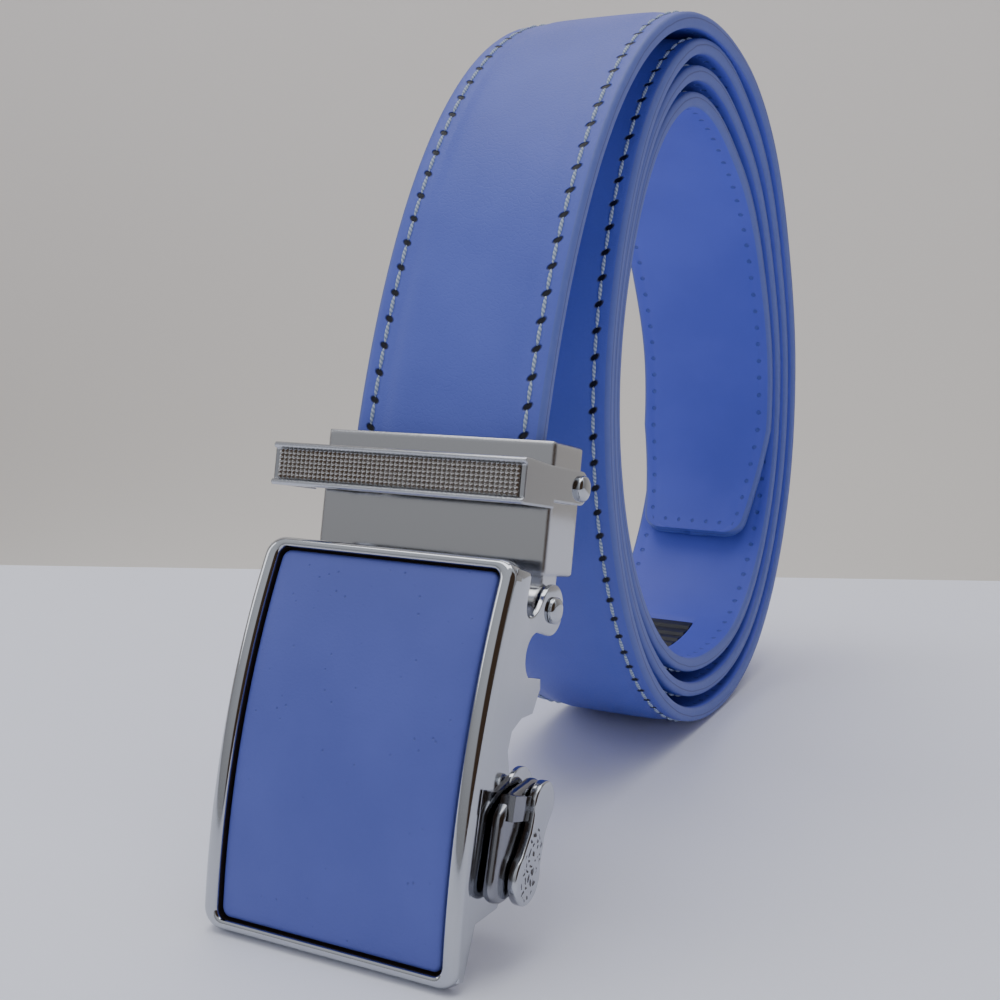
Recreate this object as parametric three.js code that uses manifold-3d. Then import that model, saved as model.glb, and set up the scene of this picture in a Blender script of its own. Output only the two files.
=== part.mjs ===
// A ratchet belt at rest on a table: the strap stands coiled on its edgewise turns, and the buckle,
// hinged to the strap's clamp, hangs in front of the coil with its lower end on the table.
// Millimetres, +Z up, X across the strap, the buckle on the -Y side.
import * as THREE from "three";
import { mergeVertices } from "three/addons/utils/BufferGeometryUtils.js";
import Module from "manifold-3d";

const wasm = await Module();
wasm.setup();

// Driving dimensions in millimetres, angles in degrees.

const STRAP_WIDTH = 31;
const STRAP_THICKNESS = 3.3;
const STRAP_CROWN = 0.5;
const STRAP_MARGIN = 4.6;
const STRAP_EDGE_ROUND = 0.6;
const COIL_DEPTH = 120.4;
const COIL_HEIGHT = 136.9;
const COIL_TO_CLAMP = 87.6;
const TURN_SIDE_STEP = 0.85;
const STRAP_END_TURN = 1305;
const RUN_JOIN_TURN = 100;
const STRAP_STEP = 9.2;
const TIP_TAPER_LENGTH = 27;
const TIP_END_WIDTH = 23.5;
const TIP_CORNER = 3.6;

const TRACK_WIDTH = 11.6;
const TRACK_THICKNESS = 1.1;
const TRACK_LENGTH = 164;
const TRACK_FROM_TIP = 146;
const TRACK_TOOTH_PITCH = 4;
const TRACK_TOOTH_DEPTH = 0.5;

const BUCKLE_LEAN = 18.8;
const CLAMP_LEAN = 11.8;
const RUN_LEAN = 17;
const CLEARANCE = 0.3;

const CLAMP_BOTTOM = 4.6;
const CLAMP_HEIGHT = 18.9;
const CLAMP_DEPTH = 9.8;
const CLAMP_FRONT_WALL = 1.1;
const CLAMP_FRONT_TO_PIN = 1.6;
const CLAMP_POCKET_FLOOR = 2;
const CLAMP_EDGE = 0.35;
const REAR_WINDOW_HALF_WIDTH = 13.6;
const REAR_WINDOW_SILL = 7.2;

const TONGUE_STEP = 1.4;
const KNUCKLE_RADIUS = 3.4;
const KNUCKLE_SIDES = 24;

const PIN_RADIUS = 0.9;
const PIN_HEAD_RADIUS = 1.9;
const PIN_HEAD_THICKNESS = 1.1;
const PIN_HEAD_ROUND = 0.4;
const PIN_SIDES = 16;

const BAR_FRONT_TO_CLAMP = 11.7;
const BAR_HEIGHT = 6.2;
const BAR_CENTRE_ABOVE_PIN = 17.2;
const BAR_THICKNESS = 2.1;
const BAR_RAIL = 0.85;
const BAR_RAIL_DEPTH = 0.6;
const BAR_ARM_THICKNESS = 0.9;
const BAR_ARM_HEIGHT = 4.9;
const BAR_SIDE_DEPTH = 10.2;
const BAR_PIN_UP = 17.5;
const BAR_PIN_BACK = 6;
const KNURL_ROWS = 6;
const KNURL_COLUMNS = 40;
const KNURL_HEIGHT = 0.35;
const KNURL_BASE = 0.25;

const FACE_WIDTH = 40.4;
const FACE_LENGTH = 55.3;
const FACE_TOP = 5.2;
const FACE_ARC_RADIUS = 122;
const FACE_FRONT_TO_PIN = 16.5;
const FACE_THICKNESS = 2.4;
const FACE_CORNER = 2.8;
const RIM_WIDTH = 2.35;
const RIM_END_WIDTH = 1.45;
const PANEL_GAP = 0.35;
const PANEL_SINK = 0.55;
const PANEL_THICKNESS = 1;
const PANEL_PILLOW = 0.35;

const WALL_THICKNESS = 0.9;
const EAR_RADIUS = 3.6;
const LEVER_PIN_BELOW = 26;
const LEVER_PIN_AHEAD = 2.1;
const LUG_RADIUS = 4.4;

const LEVER_LENGTH = 9.85;
const LEVER_PLATE = 1.4;
const LEVER_SLOT = 0.7;
const LEVER_HUB_RADIUS = 3.1;
const LEVER_PADDLE_RADIUS = 3.7;
const LEVER_NECK_WIDTH = 4.6;
const LEVER_TILT = 12.9;
const PAWL_HALF_WIDTH = 7;
const PAWL_REACH = 6.6;
const PAWL_THICKNESS = 1.6;

// Colours and finishes.

const LEATHER = { color: 0x5f7bd0, roughness: 0.5, metalness: 0 };
const CHROME = { color: 0xd8dade, roughness: 0.12, metalness: 1 };
const TRACK_PLASTIC = { color: 0x15151a, roughness: 0.55, metalness: 0 };

const halfTurn = Math.PI;
const toRadians = THREE.MathUtils.degToRad;

// Solids

function toSolid(geometry) {
  const shell = geometry.index ? geometry.toNonIndexed() : geometry.clone();
  shell.deleteAttribute("normal");
  shell.deleteAttribute("uv");
  const merged = mergeVertices(shell, 1e-4);
  return new wasm.Manifold(new wasm.Mesh({
    numProp: 3,
    vertProperties: Float32Array.from(merged.attributes.position.array),
    triVerts: Uint32Array.from(merged.index.array),
  }));
}

function toGeometry(solid) {
  const mesh = solid.getMesh();
  const geometry = new THREE.BufferGeometry();
  geometry.setAttribute("position", new THREE.BufferAttribute(Float32Array.from(mesh.vertProperties), 3));
  geometry.setIndex(new THREE.BufferAttribute(Uint32Array.from(mesh.triVerts), 1));
  geometry.computeVertexNormals();
  return geometry;
}

function join(...geometries) {
  return toGeometry(geometries.map(toSolid).reduce((whole, piece) => whole.add(piece)));
}

function cut(geometry, ...tools) {
  return toGeometry(tools.map(toSolid).reduce((whole, tool) => whole.subtract(tool), toSolid(geometry)));
}

// In the buckle's own frame X is across, Y is depth behind the hinge pin and Z runs up the strap.

const ACROSS = new THREE.Matrix4().makeBasis(
  new THREE.Vector3(0, 1, 0),
  new THREE.Vector3(0, 0, 1),
  new THREE.Vector3(1, 0, 0),
);

// An outline of (depth, height) extruded across the buckle from one X to another.
function across(shape, fromX, toX, curveSegments = 8) {
  const geometry = new THREE.ExtrudeGeometry(shape, {
    depth: toX - fromX,
    bevelEnabled: false,
    curveSegments,
  });
  return geometry.translate(0, 0, fromX).applyMatrix4(ACROSS);
}

// The same with its two outer edges broken by a small bevel.
function acrossBevelled(shape, fromX, toX, bevel, curveSegments = 8) {
  const geometry = new THREE.ExtrudeGeometry(shape, {
    depth: toX - fromX - 2 * bevel,
    bevelEnabled: true,
    bevelThickness: bevel,
    bevelSize: bevel,
    bevelOffset: -bevel,
    bevelSegments: 1,
    curveSegments,
  });
  return geometry.translate(0, 0, fromX + bevel).applyMatrix4(ACROSS);
}

function boxBetween(low, high) {
  const size = high.map((value, i) => value - low[i]);
  const middle = high.map((value, i) => (value + low[i]) / 2);
  return new THREE.BoxGeometry(...size).translate(...middle);
}

function rod(radius, fromX, toX, depth, height, sides = PIN_SIDES) {
  return new THREE.CylinderGeometry(radius, radius, toX - fromX, sides)
    .rotateZ(halfTurn / 2)
    .translate((fromX + toX) / 2, depth, height);
}

// A pin across the buckle with a rounded head past each end of what it holds.
function headedPin(halfGrip, depth, height) {
  const end = halfGrip + PIN_HEAD_THICKNESS;
  const half = [
    [0, end],
    [PIN_HEAD_RADIUS - PIN_HEAD_ROUND, end],
    [PIN_HEAD_RADIUS, end - PIN_HEAD_ROUND],
    [PIN_HEAD_RADIUS, halfGrip],
    [PIN_RADIUS, halfGrip],
  ];
  const profile = [...half.map(([r, x]) => [r, -x]), ...half.reverse()];
  return new THREE.LatheGeometry(profile.map(([r, x]) => new THREE.Vector2(r, x)), PIN_SIDES)
    .rotateZ(-halfTurn / 2)
    .translate(0, depth, height);
}

// Rings of points with the same count, skinned into one closed body. Each ring is symmetric about
// X = 0, so its cap is closed by strips that run straight across.
function skinRings(rings) {
  const count = rings[0].length;
  const positions = rings.flat().flatMap((point) => point.toArray());
  const faces = [];
  const quad = (a, b, c, d) => faces.push(a, b, c, a, c, d);
  for (let ring = 0; ring + 1 < rings.length; ring += 1) {
    for (let i = 0; i < count; i += 1) {
      const next = (i + 1) % count;
      quad(ring * count + i, ring * count + next, (ring + 1) * count + next, (ring + 1) * count + i);
    }
  }
  const last = (rings.length - 1) * count;
  for (let i = 0; i < count / 2 - 1; i += 1) {
    const mirror = count - 1 - i;
    quad(mirror, mirror - 1, i + 1, i);
    quad(last + i, last + i + 1, last + mirror - 1, last + mirror);
  }
  const geometry = new THREE.BufferGeometry();
  geometry.setAttribute("position", new THREE.Float32BufferAttribute(positions, 3));
  geometry.setIndex(faces);
  geometry.computeVertexNormals();
  return geometry;
}

function node(name, geometry, finish) {
  const mesh = new THREE.Mesh(geometry, new THREE.MeshStandardMaterial(finish));
  mesh.name = name;
  return mesh;
}

// The coil. Each row gives the strap's outer face in one direction, counted from the front over the
// top: its distance from the coil's centre as a share of the ellipse of the coil's depth and height,
// and the step to the next turn inside it as a share of the strap's thickness.

const coilRows = [
  { turn: 0, swell: 0.998, pitch: 1.1 },
  { turn: 30, swell: 0.992, pitch: 1.12 },
  { turn: 60, swell: 0.998, pitch: 1.25 },
  { turn: 90, swell: 0.972, pitch: 1.5 },
  { turn: 120, swell: 0.927, pitch: 1.4 },
  { turn: 150, swell: 0.91, pitch: 1.2 },
  { turn: 180, swell: 0.972, pitch: 1.12 },
  { turn: 210, swell: 1.04, pitch: 1.25 },
  { turn: 240, swell: 1.062, pitch: 1.4 },
  { turn: 270, swell: 1.01, pitch: 1.5 },
  { turn: 300, swell: 0.996, pitch: 1.4 },
  { turn: 330, swell: 0.992, pitch: 1.2 },
];

// The turns slip inside one another between these two directions, where the outer run lies over them.
const SLIP_FROM = 70;
const SLIP_TO = 110;

function coilValue(column, turn) {
  const place = (THREE.MathUtils.euclideanModulo(turn, 360) / 360) * coilRows.length;
  const row = Math.floor(place);
  const [a, b, c, d] = [-1, 0, 1, 2].map((step) => (
    coilRows[(row + step + coilRows.length) % coilRows.length][column]
  ));
  const t = place - row;
  const square = 2 * a - 5 * b + 4 * c - d;
  const cube = 3 * b - a - 3 * c + d;
  return 0.5 * (2 * b + (c - a) * t + square * t * t + cube * t ** 3);
}

function coilPoint(turn) {
  const whole = Math.floor(turn / 360);
  const slip = THREE.MathUtils.smoothstep(turn - whole * 360, SLIP_FROM, SLIP_TO);
  const turnsOutside = Math.max(0, whole - 1 + slip);
  const angle = toRadians(180 - turn);
  const halfDepth = COIL_DEPTH / 2;
  const halfHeight = COIL_HEIGHT / 2;
  const ellipse = (halfDepth * halfHeight)
    / Math.hypot(halfHeight * Math.cos(angle), halfDepth * Math.sin(angle));
  const inset = turnsOutside * coilValue("pitch", turn) * STRAP_THICKNESS;
  const reach = ellipse * coilValue("swell", turn) - inset;
  return new THREE.Vector2(reach * Math.cos(angle), reach * Math.sin(angle));
}

// The buckle frame: an arched plate with a raised rounded rim and a sunk bed for the panel.

const faceMiddle = FACE_TOP - FACE_LENGTH / 2;
const FACE_SIDE_STEPS = 8;
const CORNER_STEPS = 4;

function archDepth(height) {
  const along = height - faceMiddle;
  return FACE_ARC_RADIUS - Math.sqrt(FACE_ARC_RADIUS ** 2 - along ** 2) - FACE_FRONT_TO_PIN;
}

// A rounded outline of the face, drawn in from the frame's sides and ends by a share of the rim's
// width, at a depth behind the arch of the rim's front.
function faceRing(inward, sink) {
  const halfWidth = FACE_WIDTH / 2 - inward * RIM_WIDTH;
  const top = FACE_TOP - inward * RIM_END_WIDTH;
  const bottom = FACE_TOP - FACE_LENGTH + inward * RIM_END_WIDTH;
  const corner = FACE_CORNER - inward * RIM_END_WIDTH;
  const right = [];
  for (let i = 0; i <= CORNER_STEPS; i += 1) {
    const angle = (halfTurn / 2) * (1 - i / CORNER_STEPS);
    right.push([halfWidth - corner + corner * Math.cos(angle), top - corner + corner * Math.sin(angle)]);
  }
  for (let i = 1; i < FACE_SIDE_STEPS; i += 1) {
    right.push([halfWidth, THREE.MathUtils.lerp(top - corner, bottom + corner, i / FACE_SIDE_STEPS)]);
  }
  for (let i = 0; i <= CORNER_STEPS; i += 1) {
    const angle = (-halfTurn / 2) * (i / CORNER_STEPS);
    right.push([halfWidth - corner + corner * Math.cos(angle), bottom + corner + corner * Math.sin(angle)]);
  }
  const left = right.map(([x, height]) => [-x, height]).reverse();
  return [...right, ...left].map(([x, height]) => new THREE.Vector3(x, archDepth(height) + sink, height));
}

// The rim from its bed over its crown to its back: how far in, as a share of its width, and how deep.
const bedDepth = PANEL_SINK + PANEL_THICKNESS + CLEARANCE;
const rimRings = [
  { inward: 1, sink: bedDepth },
  { inward: 1, sink: 0.35 },
  { inward: 0.8, sink: 0.08 },
  { inward: 0.42, sink: 0 },
  { inward: 0.12, sink: 0.3 },
  { inward: 0, sink: 0.9 },
  { inward: 0, sink: FACE_THICKNESS },
];

// The leather panel, a little pillowed, with its gap to the rim as a share of the rim's width.
const panelGapShare = PANEL_GAP / RIM_END_WIDTH;
const panelRings = [
  { inward: 1.6 + panelGapShare, sink: PANEL_SINK },
  { inward: 1.15 + panelGapShare, sink: PANEL_SINK + 0.1 * PANEL_PILLOW },
  { inward: 1 + panelGapShare, sink: PANEL_SINK + PANEL_PILLOW },
  { inward: 1 + panelGapShare, sink: PANEL_SINK + PANEL_THICKNESS },
];

function wallShape() {
  const shape = new THREE.Shape();
  const front = (height) => archDepth(height) + 0.9;
  const bottom = FACE_TOP - FACE_LENGTH + 1.2;
  const top = FACE_TOP - 1.1;
  shape.moveTo(front(bottom), bottom);
  for (let i = 1; i <= FACE_SIDE_STEPS; i += 1) {
    const height = THREE.MathUtils.lerp(bottom, top, i / FACE_SIDE_STEPS);
    shape.lineTo(front(height), height);
  }
  return { shape, bottom, top };
}

// The side wall's rear edge, as depth and height from the hinge pin in shares of the ear's radius
// above the lever's pin, and of the lug's radius below it.
function sideWall(fromX, toX) {
  const { shape, bottom, top } = wallShape();
  const ear = EAR_RADIUS;
  const lugHeight = -LEVER_PIN_BELOW;
  const lugDepth = -LEVER_PIN_AHEAD;
  shape.lineTo(-2.5 * ear, top);
  shape.lineTo(-2.34 * ear, top - 0.16 * ear);
  shape.lineTo(-2.36 * ear, -0.12 * ear);
  shape.quadraticCurveTo(-2.3 * ear, -0.42 * ear, -1.85 * ear, -0.42 * ear);
  shape.quadraticCurveTo(-1.35 * ear, -0.42 * ear, -0.94 * ear, 0.34 * ear);
  shape.absarc(0, 0, ear, toRadians(160), toRadians(-100), true);
  const notchRadius = 0.93 * ear;
  const notchDepth = -0.9 * ear;
  const notchHeight = -1.88 * ear;
  shape.absarc(notchDepth, notchHeight, notchRadius, toRadians(78), toRadians(240), false);
  shape.lineTo(-0.24 * ear, -2.66 * ear);
  shape.lineTo(-0.1 * ear, -3.06 * ear);
  shape.lineTo(-0.5 * ear, -4.03 * ear);
  shape.lineTo(-1.4 * ear, -4.24 * ear);
  shape.lineTo(-2.1 * ear, -4.75 * ear);
  shape.lineTo(-2.2 * ear, -5.46 * ear);
  const lug = LUG_RADIUS;
  shape.absarc(lugDepth, lugHeight, lug, toRadians(150), toRadians(-40), true);
  shape.lineTo(lugDepth - 0.5 * lug, lugHeight - 3.26 * lug);
  shape.lineTo(lugDepth - 1.85 * lug, lugHeight - 3.6 * lug);
  shape.lineTo(archDepth(bottom) + 0.9 + 0.3 * lug, bottom);
  return across(shape, fromX, toX, 7);
}

const faceHalfWidth = FACE_WIDTH / 2;
const wallInside = faceHalfWidth - WALL_THICKNESS;

function buckleFrame() {
  const plate = skinRings(rimRings.map(({ inward, sink }) => faceRing(inward, sink)));
  const walls = [
    sideWall(wallInside, faceHalfWidth),
    sideWall(-faceHalfWidth, -wallInside),
  ];
  const pinHole = rod(PIN_RADIUS + CLEARANCE, -FACE_WIDTH, FACE_WIDTH, 0, 0);
  const leverHole = rod(PIN_RADIUS + CLEARANCE, -FACE_WIDTH, FACE_WIDTH, -LEVER_PIN_AHEAD, -LEVER_PIN_BELOW);
  return cut(join(plate, ...walls), pinHole, leverHole);
}

function facePanel() {
  return skinRings(panelRings.map(({ inward, sink }) => faceRing(inward, sink)));
}

// The clamp: a flat box open at the top for the strap's end, with a window behind and a tongue below
// that ends in the hinge's knuckle.

const clampHalfWidth = FACE_WIDTH / 2 - WALL_THICKNESS - CLEARANCE;
const clampFront = -CLAMP_FRONT_TO_PIN;
const clampBack = clampFront + CLAMP_DEPTH;
const clampTop = CLAMP_BOTTOM + CLAMP_HEIGHT;
const strapFaceDepth = clampFront + CLAMP_FRONT_WALL + CLEARANCE;
const strapEndHeight = CLAMP_BOTTOM + CLAMP_POCKET_FLOOR + CLEARANCE;

function rectangle(fromDepth, fromHeight, toDepth, toHeight) {
  return new THREE.Shape([
    new THREE.Vector2(fromDepth, fromHeight),
    new THREE.Vector2(toDepth, fromHeight),
    new THREE.Vector2(toDepth, toHeight),
    new THREE.Vector2(fromDepth, toHeight),
  ]);
}

function clampBody() {
  const body = acrossBevelled(
    rectangle(clampFront, CLAMP_BOTTOM, clampBack, clampTop),
    -clampHalfWidth,
    clampHalfWidth,
    CLAMP_EDGE,
  );
  const tongueHalf = clampHalfWidth - CLEARANCE;
  const tongueFoot = CLAMP_BOTTOM - TONGUE_STEP;
  const tongue = across(
    rectangle(clampFront + CLEARANCE, tongueFoot, KNUCKLE_RADIUS, CLAMP_BOTTOM + 1),
    -tongueHalf,
    tongueHalf,
  );
  const knuckle = rod(KNUCKLE_RADIUS, -tongueHalf, tongueHalf, 0, 0, KNUCKLE_SIDES);
  const pocketHalf = STRAP_WIDTH / 2 + CLEARANCE;
  const pocket = boxBetween(
    [-pocketHalf, strapFaceDepth - CLEARANCE, CLAMP_BOTTOM + CLAMP_POCKET_FLOOR],
    [pocketHalf, strapFaceDepth + STRAP_THICKNESS + CLEARANCE, clampTop + 1],
  );
  const rearWindow = boxBetween(
    [-REAR_WINDOW_HALF_WIDTH, strapFaceDepth + STRAP_THICKNESS, CLAMP_BOTTOM + REAR_WINDOW_SILL],
    [REAR_WINDOW_HALF_WIDTH, clampBack + 1, clampTop + 1],
  );
  const barPinHole = rod(PIN_RADIUS + CLEARANCE, -FACE_WIDTH, FACE_WIDTH, BAR_PIN_BACK, BAR_PIN_UP);
  const hingeHole = rod(PIN_RADIUS + CLEARANCE, -FACE_WIDTH, FACE_WIDTH, 0, 0);
  return cut(join(body, tongue, knuckle), pocket, rearWindow, barPinHole, hingeHole);
}

// The flip bar: a band with a rail along its top and bottom, and an arm back to the pin at each end.

const barFront = clampFront - BAR_FRONT_TO_CLAMP;
const barBack = barFront + BAR_THICKNESS;
const barTop = BAR_CENTRE_ABOVE_PIN + BAR_HEIGHT / 2;
const barBottom = BAR_CENTRE_ABOVE_PIN - BAR_HEIGHT / 2;
const armInside = clampHalfWidth + CLEARANCE;
const armOutside = armInside + BAR_ARM_THICKNESS;

function barArm(fromX, toX) {
  const half = BAR_ARM_HEIGHT / 2;
  const shoulder = barFront + BAR_SIDE_DEPTH;
  const shape = new THREE.Shape();
  shape.moveTo(barFront + BAR_RAIL_DEPTH, barBottom);
  shape.lineTo(barFront + BAR_RAIL_DEPTH, barTop);
  shape.lineTo(shoulder - half, BAR_PIN_UP + half);
  shape.absarc(BAR_PIN_BACK, BAR_PIN_UP, half, toRadians(90), toRadians(-90), true);
  shape.lineTo(shoulder, BAR_PIN_UP - half);
  shape.lineTo(shoulder, barBottom);
  return across(shape, fromX, toX, 5);
}

function clampBar() {
  const railShape = (low, high) => {
    const bevel = BAR_RAIL_DEPTH / 2;
    return new THREE.Shape([
      new THREE.Vector2(barFront + bevel, low),
      new THREE.Vector2(barBack, low),
      new THREE.Vector2(barBack, high),
      new THREE.Vector2(barFront + bevel, high),
      new THREE.Vector2(barFront, high - bevel),
      new THREE.Vector2(barFront, low + bevel),
    ]);
  };
  const band = across(
    rectangle(barFront + BAR_RAIL_DEPTH, barBottom + BAR_RAIL / 2, barBack, barTop - BAR_RAIL / 2),
    -armOutside,
    armOutside,
  );
  const rails = [
    across(railShape(barTop - BAR_RAIL, barTop), -armOutside, armOutside),
    across(railShape(barBottom, barBottom + BAR_RAIL), -armOutside, armOutside),
  ];
  const arms = [barArm(armInside, armOutside), barArm(-armOutside, -armInside)];
  const pinHole = rod(PIN_RADIUS + CLEARANCE, -FACE_WIDTH, FACE_WIDTH, BAR_PIN_BACK, BAR_PIN_UP);
  return cut(join(band, ...rails, ...arms), pinHole);
}

// A plate of small four-sided points between the bar's rails.
function knurledStrip() {
  const halfWidth = armOutside - BAR_RAIL;
  const low = barBottom + BAR_RAIL + CLEARANCE;
  const high = barTop - BAR_RAIL - CLEARANCE;
  const back = barFront + BAR_RAIL_DEPTH - CLEARANCE;
  const face = back - KNURL_BASE;
  const positions = [];
  const faces = [];
  const columns = KNURL_COLUMNS;
  const rows = KNURL_ROWS;
  const corner = (column, row, depth) => positions.push(
    THREE.MathUtils.lerp(-halfWidth, halfWidth, column / columns),
    depth,
    THREE.MathUtils.lerp(low, high, row / rows),
  );
  for (let row = 0; row <= rows; row += 1) {
    for (let column = 0; column <= columns; column += 1) corner(column, row, face);
  }
  const at = (column, row) => row * (columns + 1) + column;
  for (let row = 0; row < rows; row += 1) {
    for (let column = 0; column < columns; column += 1) {
      const tip = positions.length / 3;
      corner(column + 0.5, row + 0.5, face - KNURL_HEIGHT);
      const loop = [at(column, row), at(column + 1, row), at(column + 1, row + 1), at(column, row + 1)];
      loop.forEach((start, i) => faces.push(start, loop[(i + 1) % 4], tip));
    }
  }
  const rimLoop = [];
  for (let column = 0; column < columns; column += 1) rimLoop.push(at(column, 0));
  for (let row = 0; row < rows; row += 1) rimLoop.push(at(columns, row));
  for (let column = columns; column > 0; column -= 1) rimLoop.push(at(column, rows));
  for (let row = rows; row > 0; row -= 1) rimLoop.push(at(0, row));
  const backStart = positions.length / 3;
  rimLoop.forEach((index) => positions.push(positions[index * 3], back, positions[index * 3 + 2]));
  const hub = positions.length / 3;
  corner(columns / 2, rows / 2, back);
  rimLoop.forEach((index, i) => {
    const next = (i + 1) % rimLoop.length;
    faces.push(index, backStart + i, rimLoop[next], rimLoop[next], backStart + i, backStart + next);
    faces.push(backStart + next, backStart + i, hub);
  });
  const geometry = new THREE.BufferGeometry();
  geometry.setAttribute("position", new THREE.Float32BufferAttribute(positions, 3));
  geometry.setIndex(faces);
  geometry.computeVertexNormals();
  return geometry;
}

// The release lever hangs outside the frame's wall: a broad inner plate and a dotted teardrop plate
// outside it, joined near the pin by a bridge. Sizes are shares of the lever's length.

const leverInside = faceHalfWidth + CLEARANCE;
const leverOutside = leverInside + 2 * LEVER_PLATE + LEVER_SLOT;

function teardrop() {
  const hub = LEVER_HUB_RADIUS;
  const neck = LEVER_NECK_WIDTH / 2;
  const neckHeight = -0.45 * LEVER_LENGTH;
  const shape = new THREE.Shape();
  shape.absarc(0, 0, hub, toRadians(-30), toRadians(210), false);
  shape.quadraticCurveTo(-neck, neckHeight * 0.7, -neck, neckHeight);
  shape.absarc(0, -LEVER_LENGTH, LEVER_PADDLE_RADIUS, toRadians(145), toRadians(395), false);
  shape.lineTo(neck, neckHeight);
  const hubStart = new THREE.Vector2(hub, 0).rotateAround(new THREE.Vector2(), toRadians(-30));
  shape.quadraticCurveTo(neck, neckHeight * 0.7, hubStart.x, hubStart.y);
  return shape;
}

function broadPlate() {
  const size = LEVER_LENGTH;
  const shape = new THREE.Shape();
  shape.absarc(0, 0, LEVER_HUB_RADIUS, toRadians(-30), toRadians(120), false);
  shape.quadraticCurveTo(-0.8 * size, 0.1 * size, -0.94 * size, -0.2 * size);
  shape.lineTo(-0.93 * size, -1.12 * size);
  shape.quadraticCurveTo(-0.9 * size, -1.32 * size, -0.6 * size, -1.33 * size);
  shape.quadraticCurveTo(-0.25 * size, -1.3 * size, -0.2 * size, -1.05 * size);
  shape.quadraticCurveTo(-0.1 * size, -0.6 * size, 0, -0.5 * size);
  return shape;
}

function releaseLever() {
  const tilt = -toRadians(LEVER_TILT);
  const inner = across(broadPlate(), leverInside, leverInside + LEVER_PLATE, 6);
  const outer = acrossBevelled(teardrop(), leverOutside - LEVER_PLATE, leverOutside, 0.25, 8).rotateX(tilt);
  const bridge = across(
    rectangle(-0.8 * LEVER_LENGTH, -0.42 * LEVER_LENGTH, -0.16 * LEVER_LENGTH, 0.1 * LEVER_LENGTH),
    leverInside + 0.3 * LEVER_PLATE,
    leverOutside - 0.6 * LEVER_PLATE,
  );
  const bore = rod(PIN_RADIUS + CLEARANCE / 2, 0, 2 * leverOutside, 0, 0);
  return cut(join(inner, outer, bridge), bore).translate(0, -LEVER_PIN_AHEAD, -LEVER_PIN_BELOW);
}

// The shaft across the frame that the lever turns, with its tooth toward the strap's channel.
function ratchetPawl() {
  const tooth = new THREE.Shape();
  tooth.moveTo(0, -PAWL_THICKNESS);
  tooth.lineTo(0, PAWL_THICKNESS);
  tooth.lineTo(-0.75 * PAWL_REACH, PAWL_REACH);
  tooth.lineTo(-PAWL_REACH, PAWL_REACH);
  tooth.lineTo(-0.6 * PAWL_REACH, 0.55 * PAWL_REACH);
  const pawl = across(tooth, -PAWL_HALF_WIDTH, PAWL_HALF_WIDTH)
    .translate(0, -LEVER_PIN_AHEAD, -LEVER_PIN_BELOW);
  const shaft = rod(
    PIN_RADIUS,
    -faceHalfWidth - PIN_HEAD_THICKNESS,
    leverOutside - LEVER_PLATE / 2,
    -LEVER_PIN_AHEAD,
    -LEVER_PIN_BELOW,
  );
  return join(pawl, shaft);
}

// The buckle's face and the clamp lean back by different amounts about the hinge pin they share.
const face = new THREE.Group();
face.rotation.x = -toRadians(BUCKLE_LEAN);
face.add(
  node("buckle_frame", buckleFrame(), CHROME),
  node("face_panel", facePanel(), LEATHER),
  node("hinge_pin", headedPin(faceHalfWidth + CLEARANCE, 0, 0), CHROME),
  node("release_lever", releaseLever(), CHROME),
  node("ratchet_pawl", ratchetPawl(), CHROME),
);
const clamp = new THREE.Group();
clamp.rotation.x = -toRadians(CLAMP_LEAN);
clamp.add(
  node("clamp_body", clampBody(), CHROME),
  node("clamp_bar", clampBar(), CHROME),
  node("knurled_strip", knurledStrip(), CHROME),
  node("bar_pin", headedPin(armOutside + CLEARANCE, BAR_PIN_BACK, BAR_PIN_UP), CHROME),
);
const buckle = new THREE.Group();
buckle.add(face, clamp);

// The frame's lower end stands on the table, which sets the hinge pin's height.
buckle.updateMatrixWorld(true);
const pinHeight = -new THREE.Box3().setFromObject(buckle, true).min.z;

// Depth and height in the clamp's frame, as seen from the side with the clamp leant back.
function leaned(depth, height, degrees) {
  const lean = toRadians(degrees);
  return new THREE.Vector2(
    depth * Math.cos(lean) + height * Math.sin(lean),
    height * Math.cos(lean) - depth * Math.sin(lean),
  );
}

const mouthFromPin = leaned(strapFaceDepth, clampTop, CLAMP_LEAN);
const pinY = -COIL_TO_CLAMP - mouthFromPin.x;
buckle.position.set(0, pinY, pinHeight);

// The strap's outer face from its end in the clamp, up the run and round the coil to the tip, as a
// dense line of places with their turn round the coil.

const FINE_TURN = 3;
const RUN_STEPS = 60;
const RUN_LOWER_REACH = 0.498;
const RUN_UPPER_REACH = 0.406;

let coilFoot = 0;
for (let turn = RUN_JOIN_TURN; turn < 360; turn += 1) coilFoot = Math.min(coilFoot, coilPoint(turn).y);
const coilCentre = new THREE.Vector2(0, -coilFoot);

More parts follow.
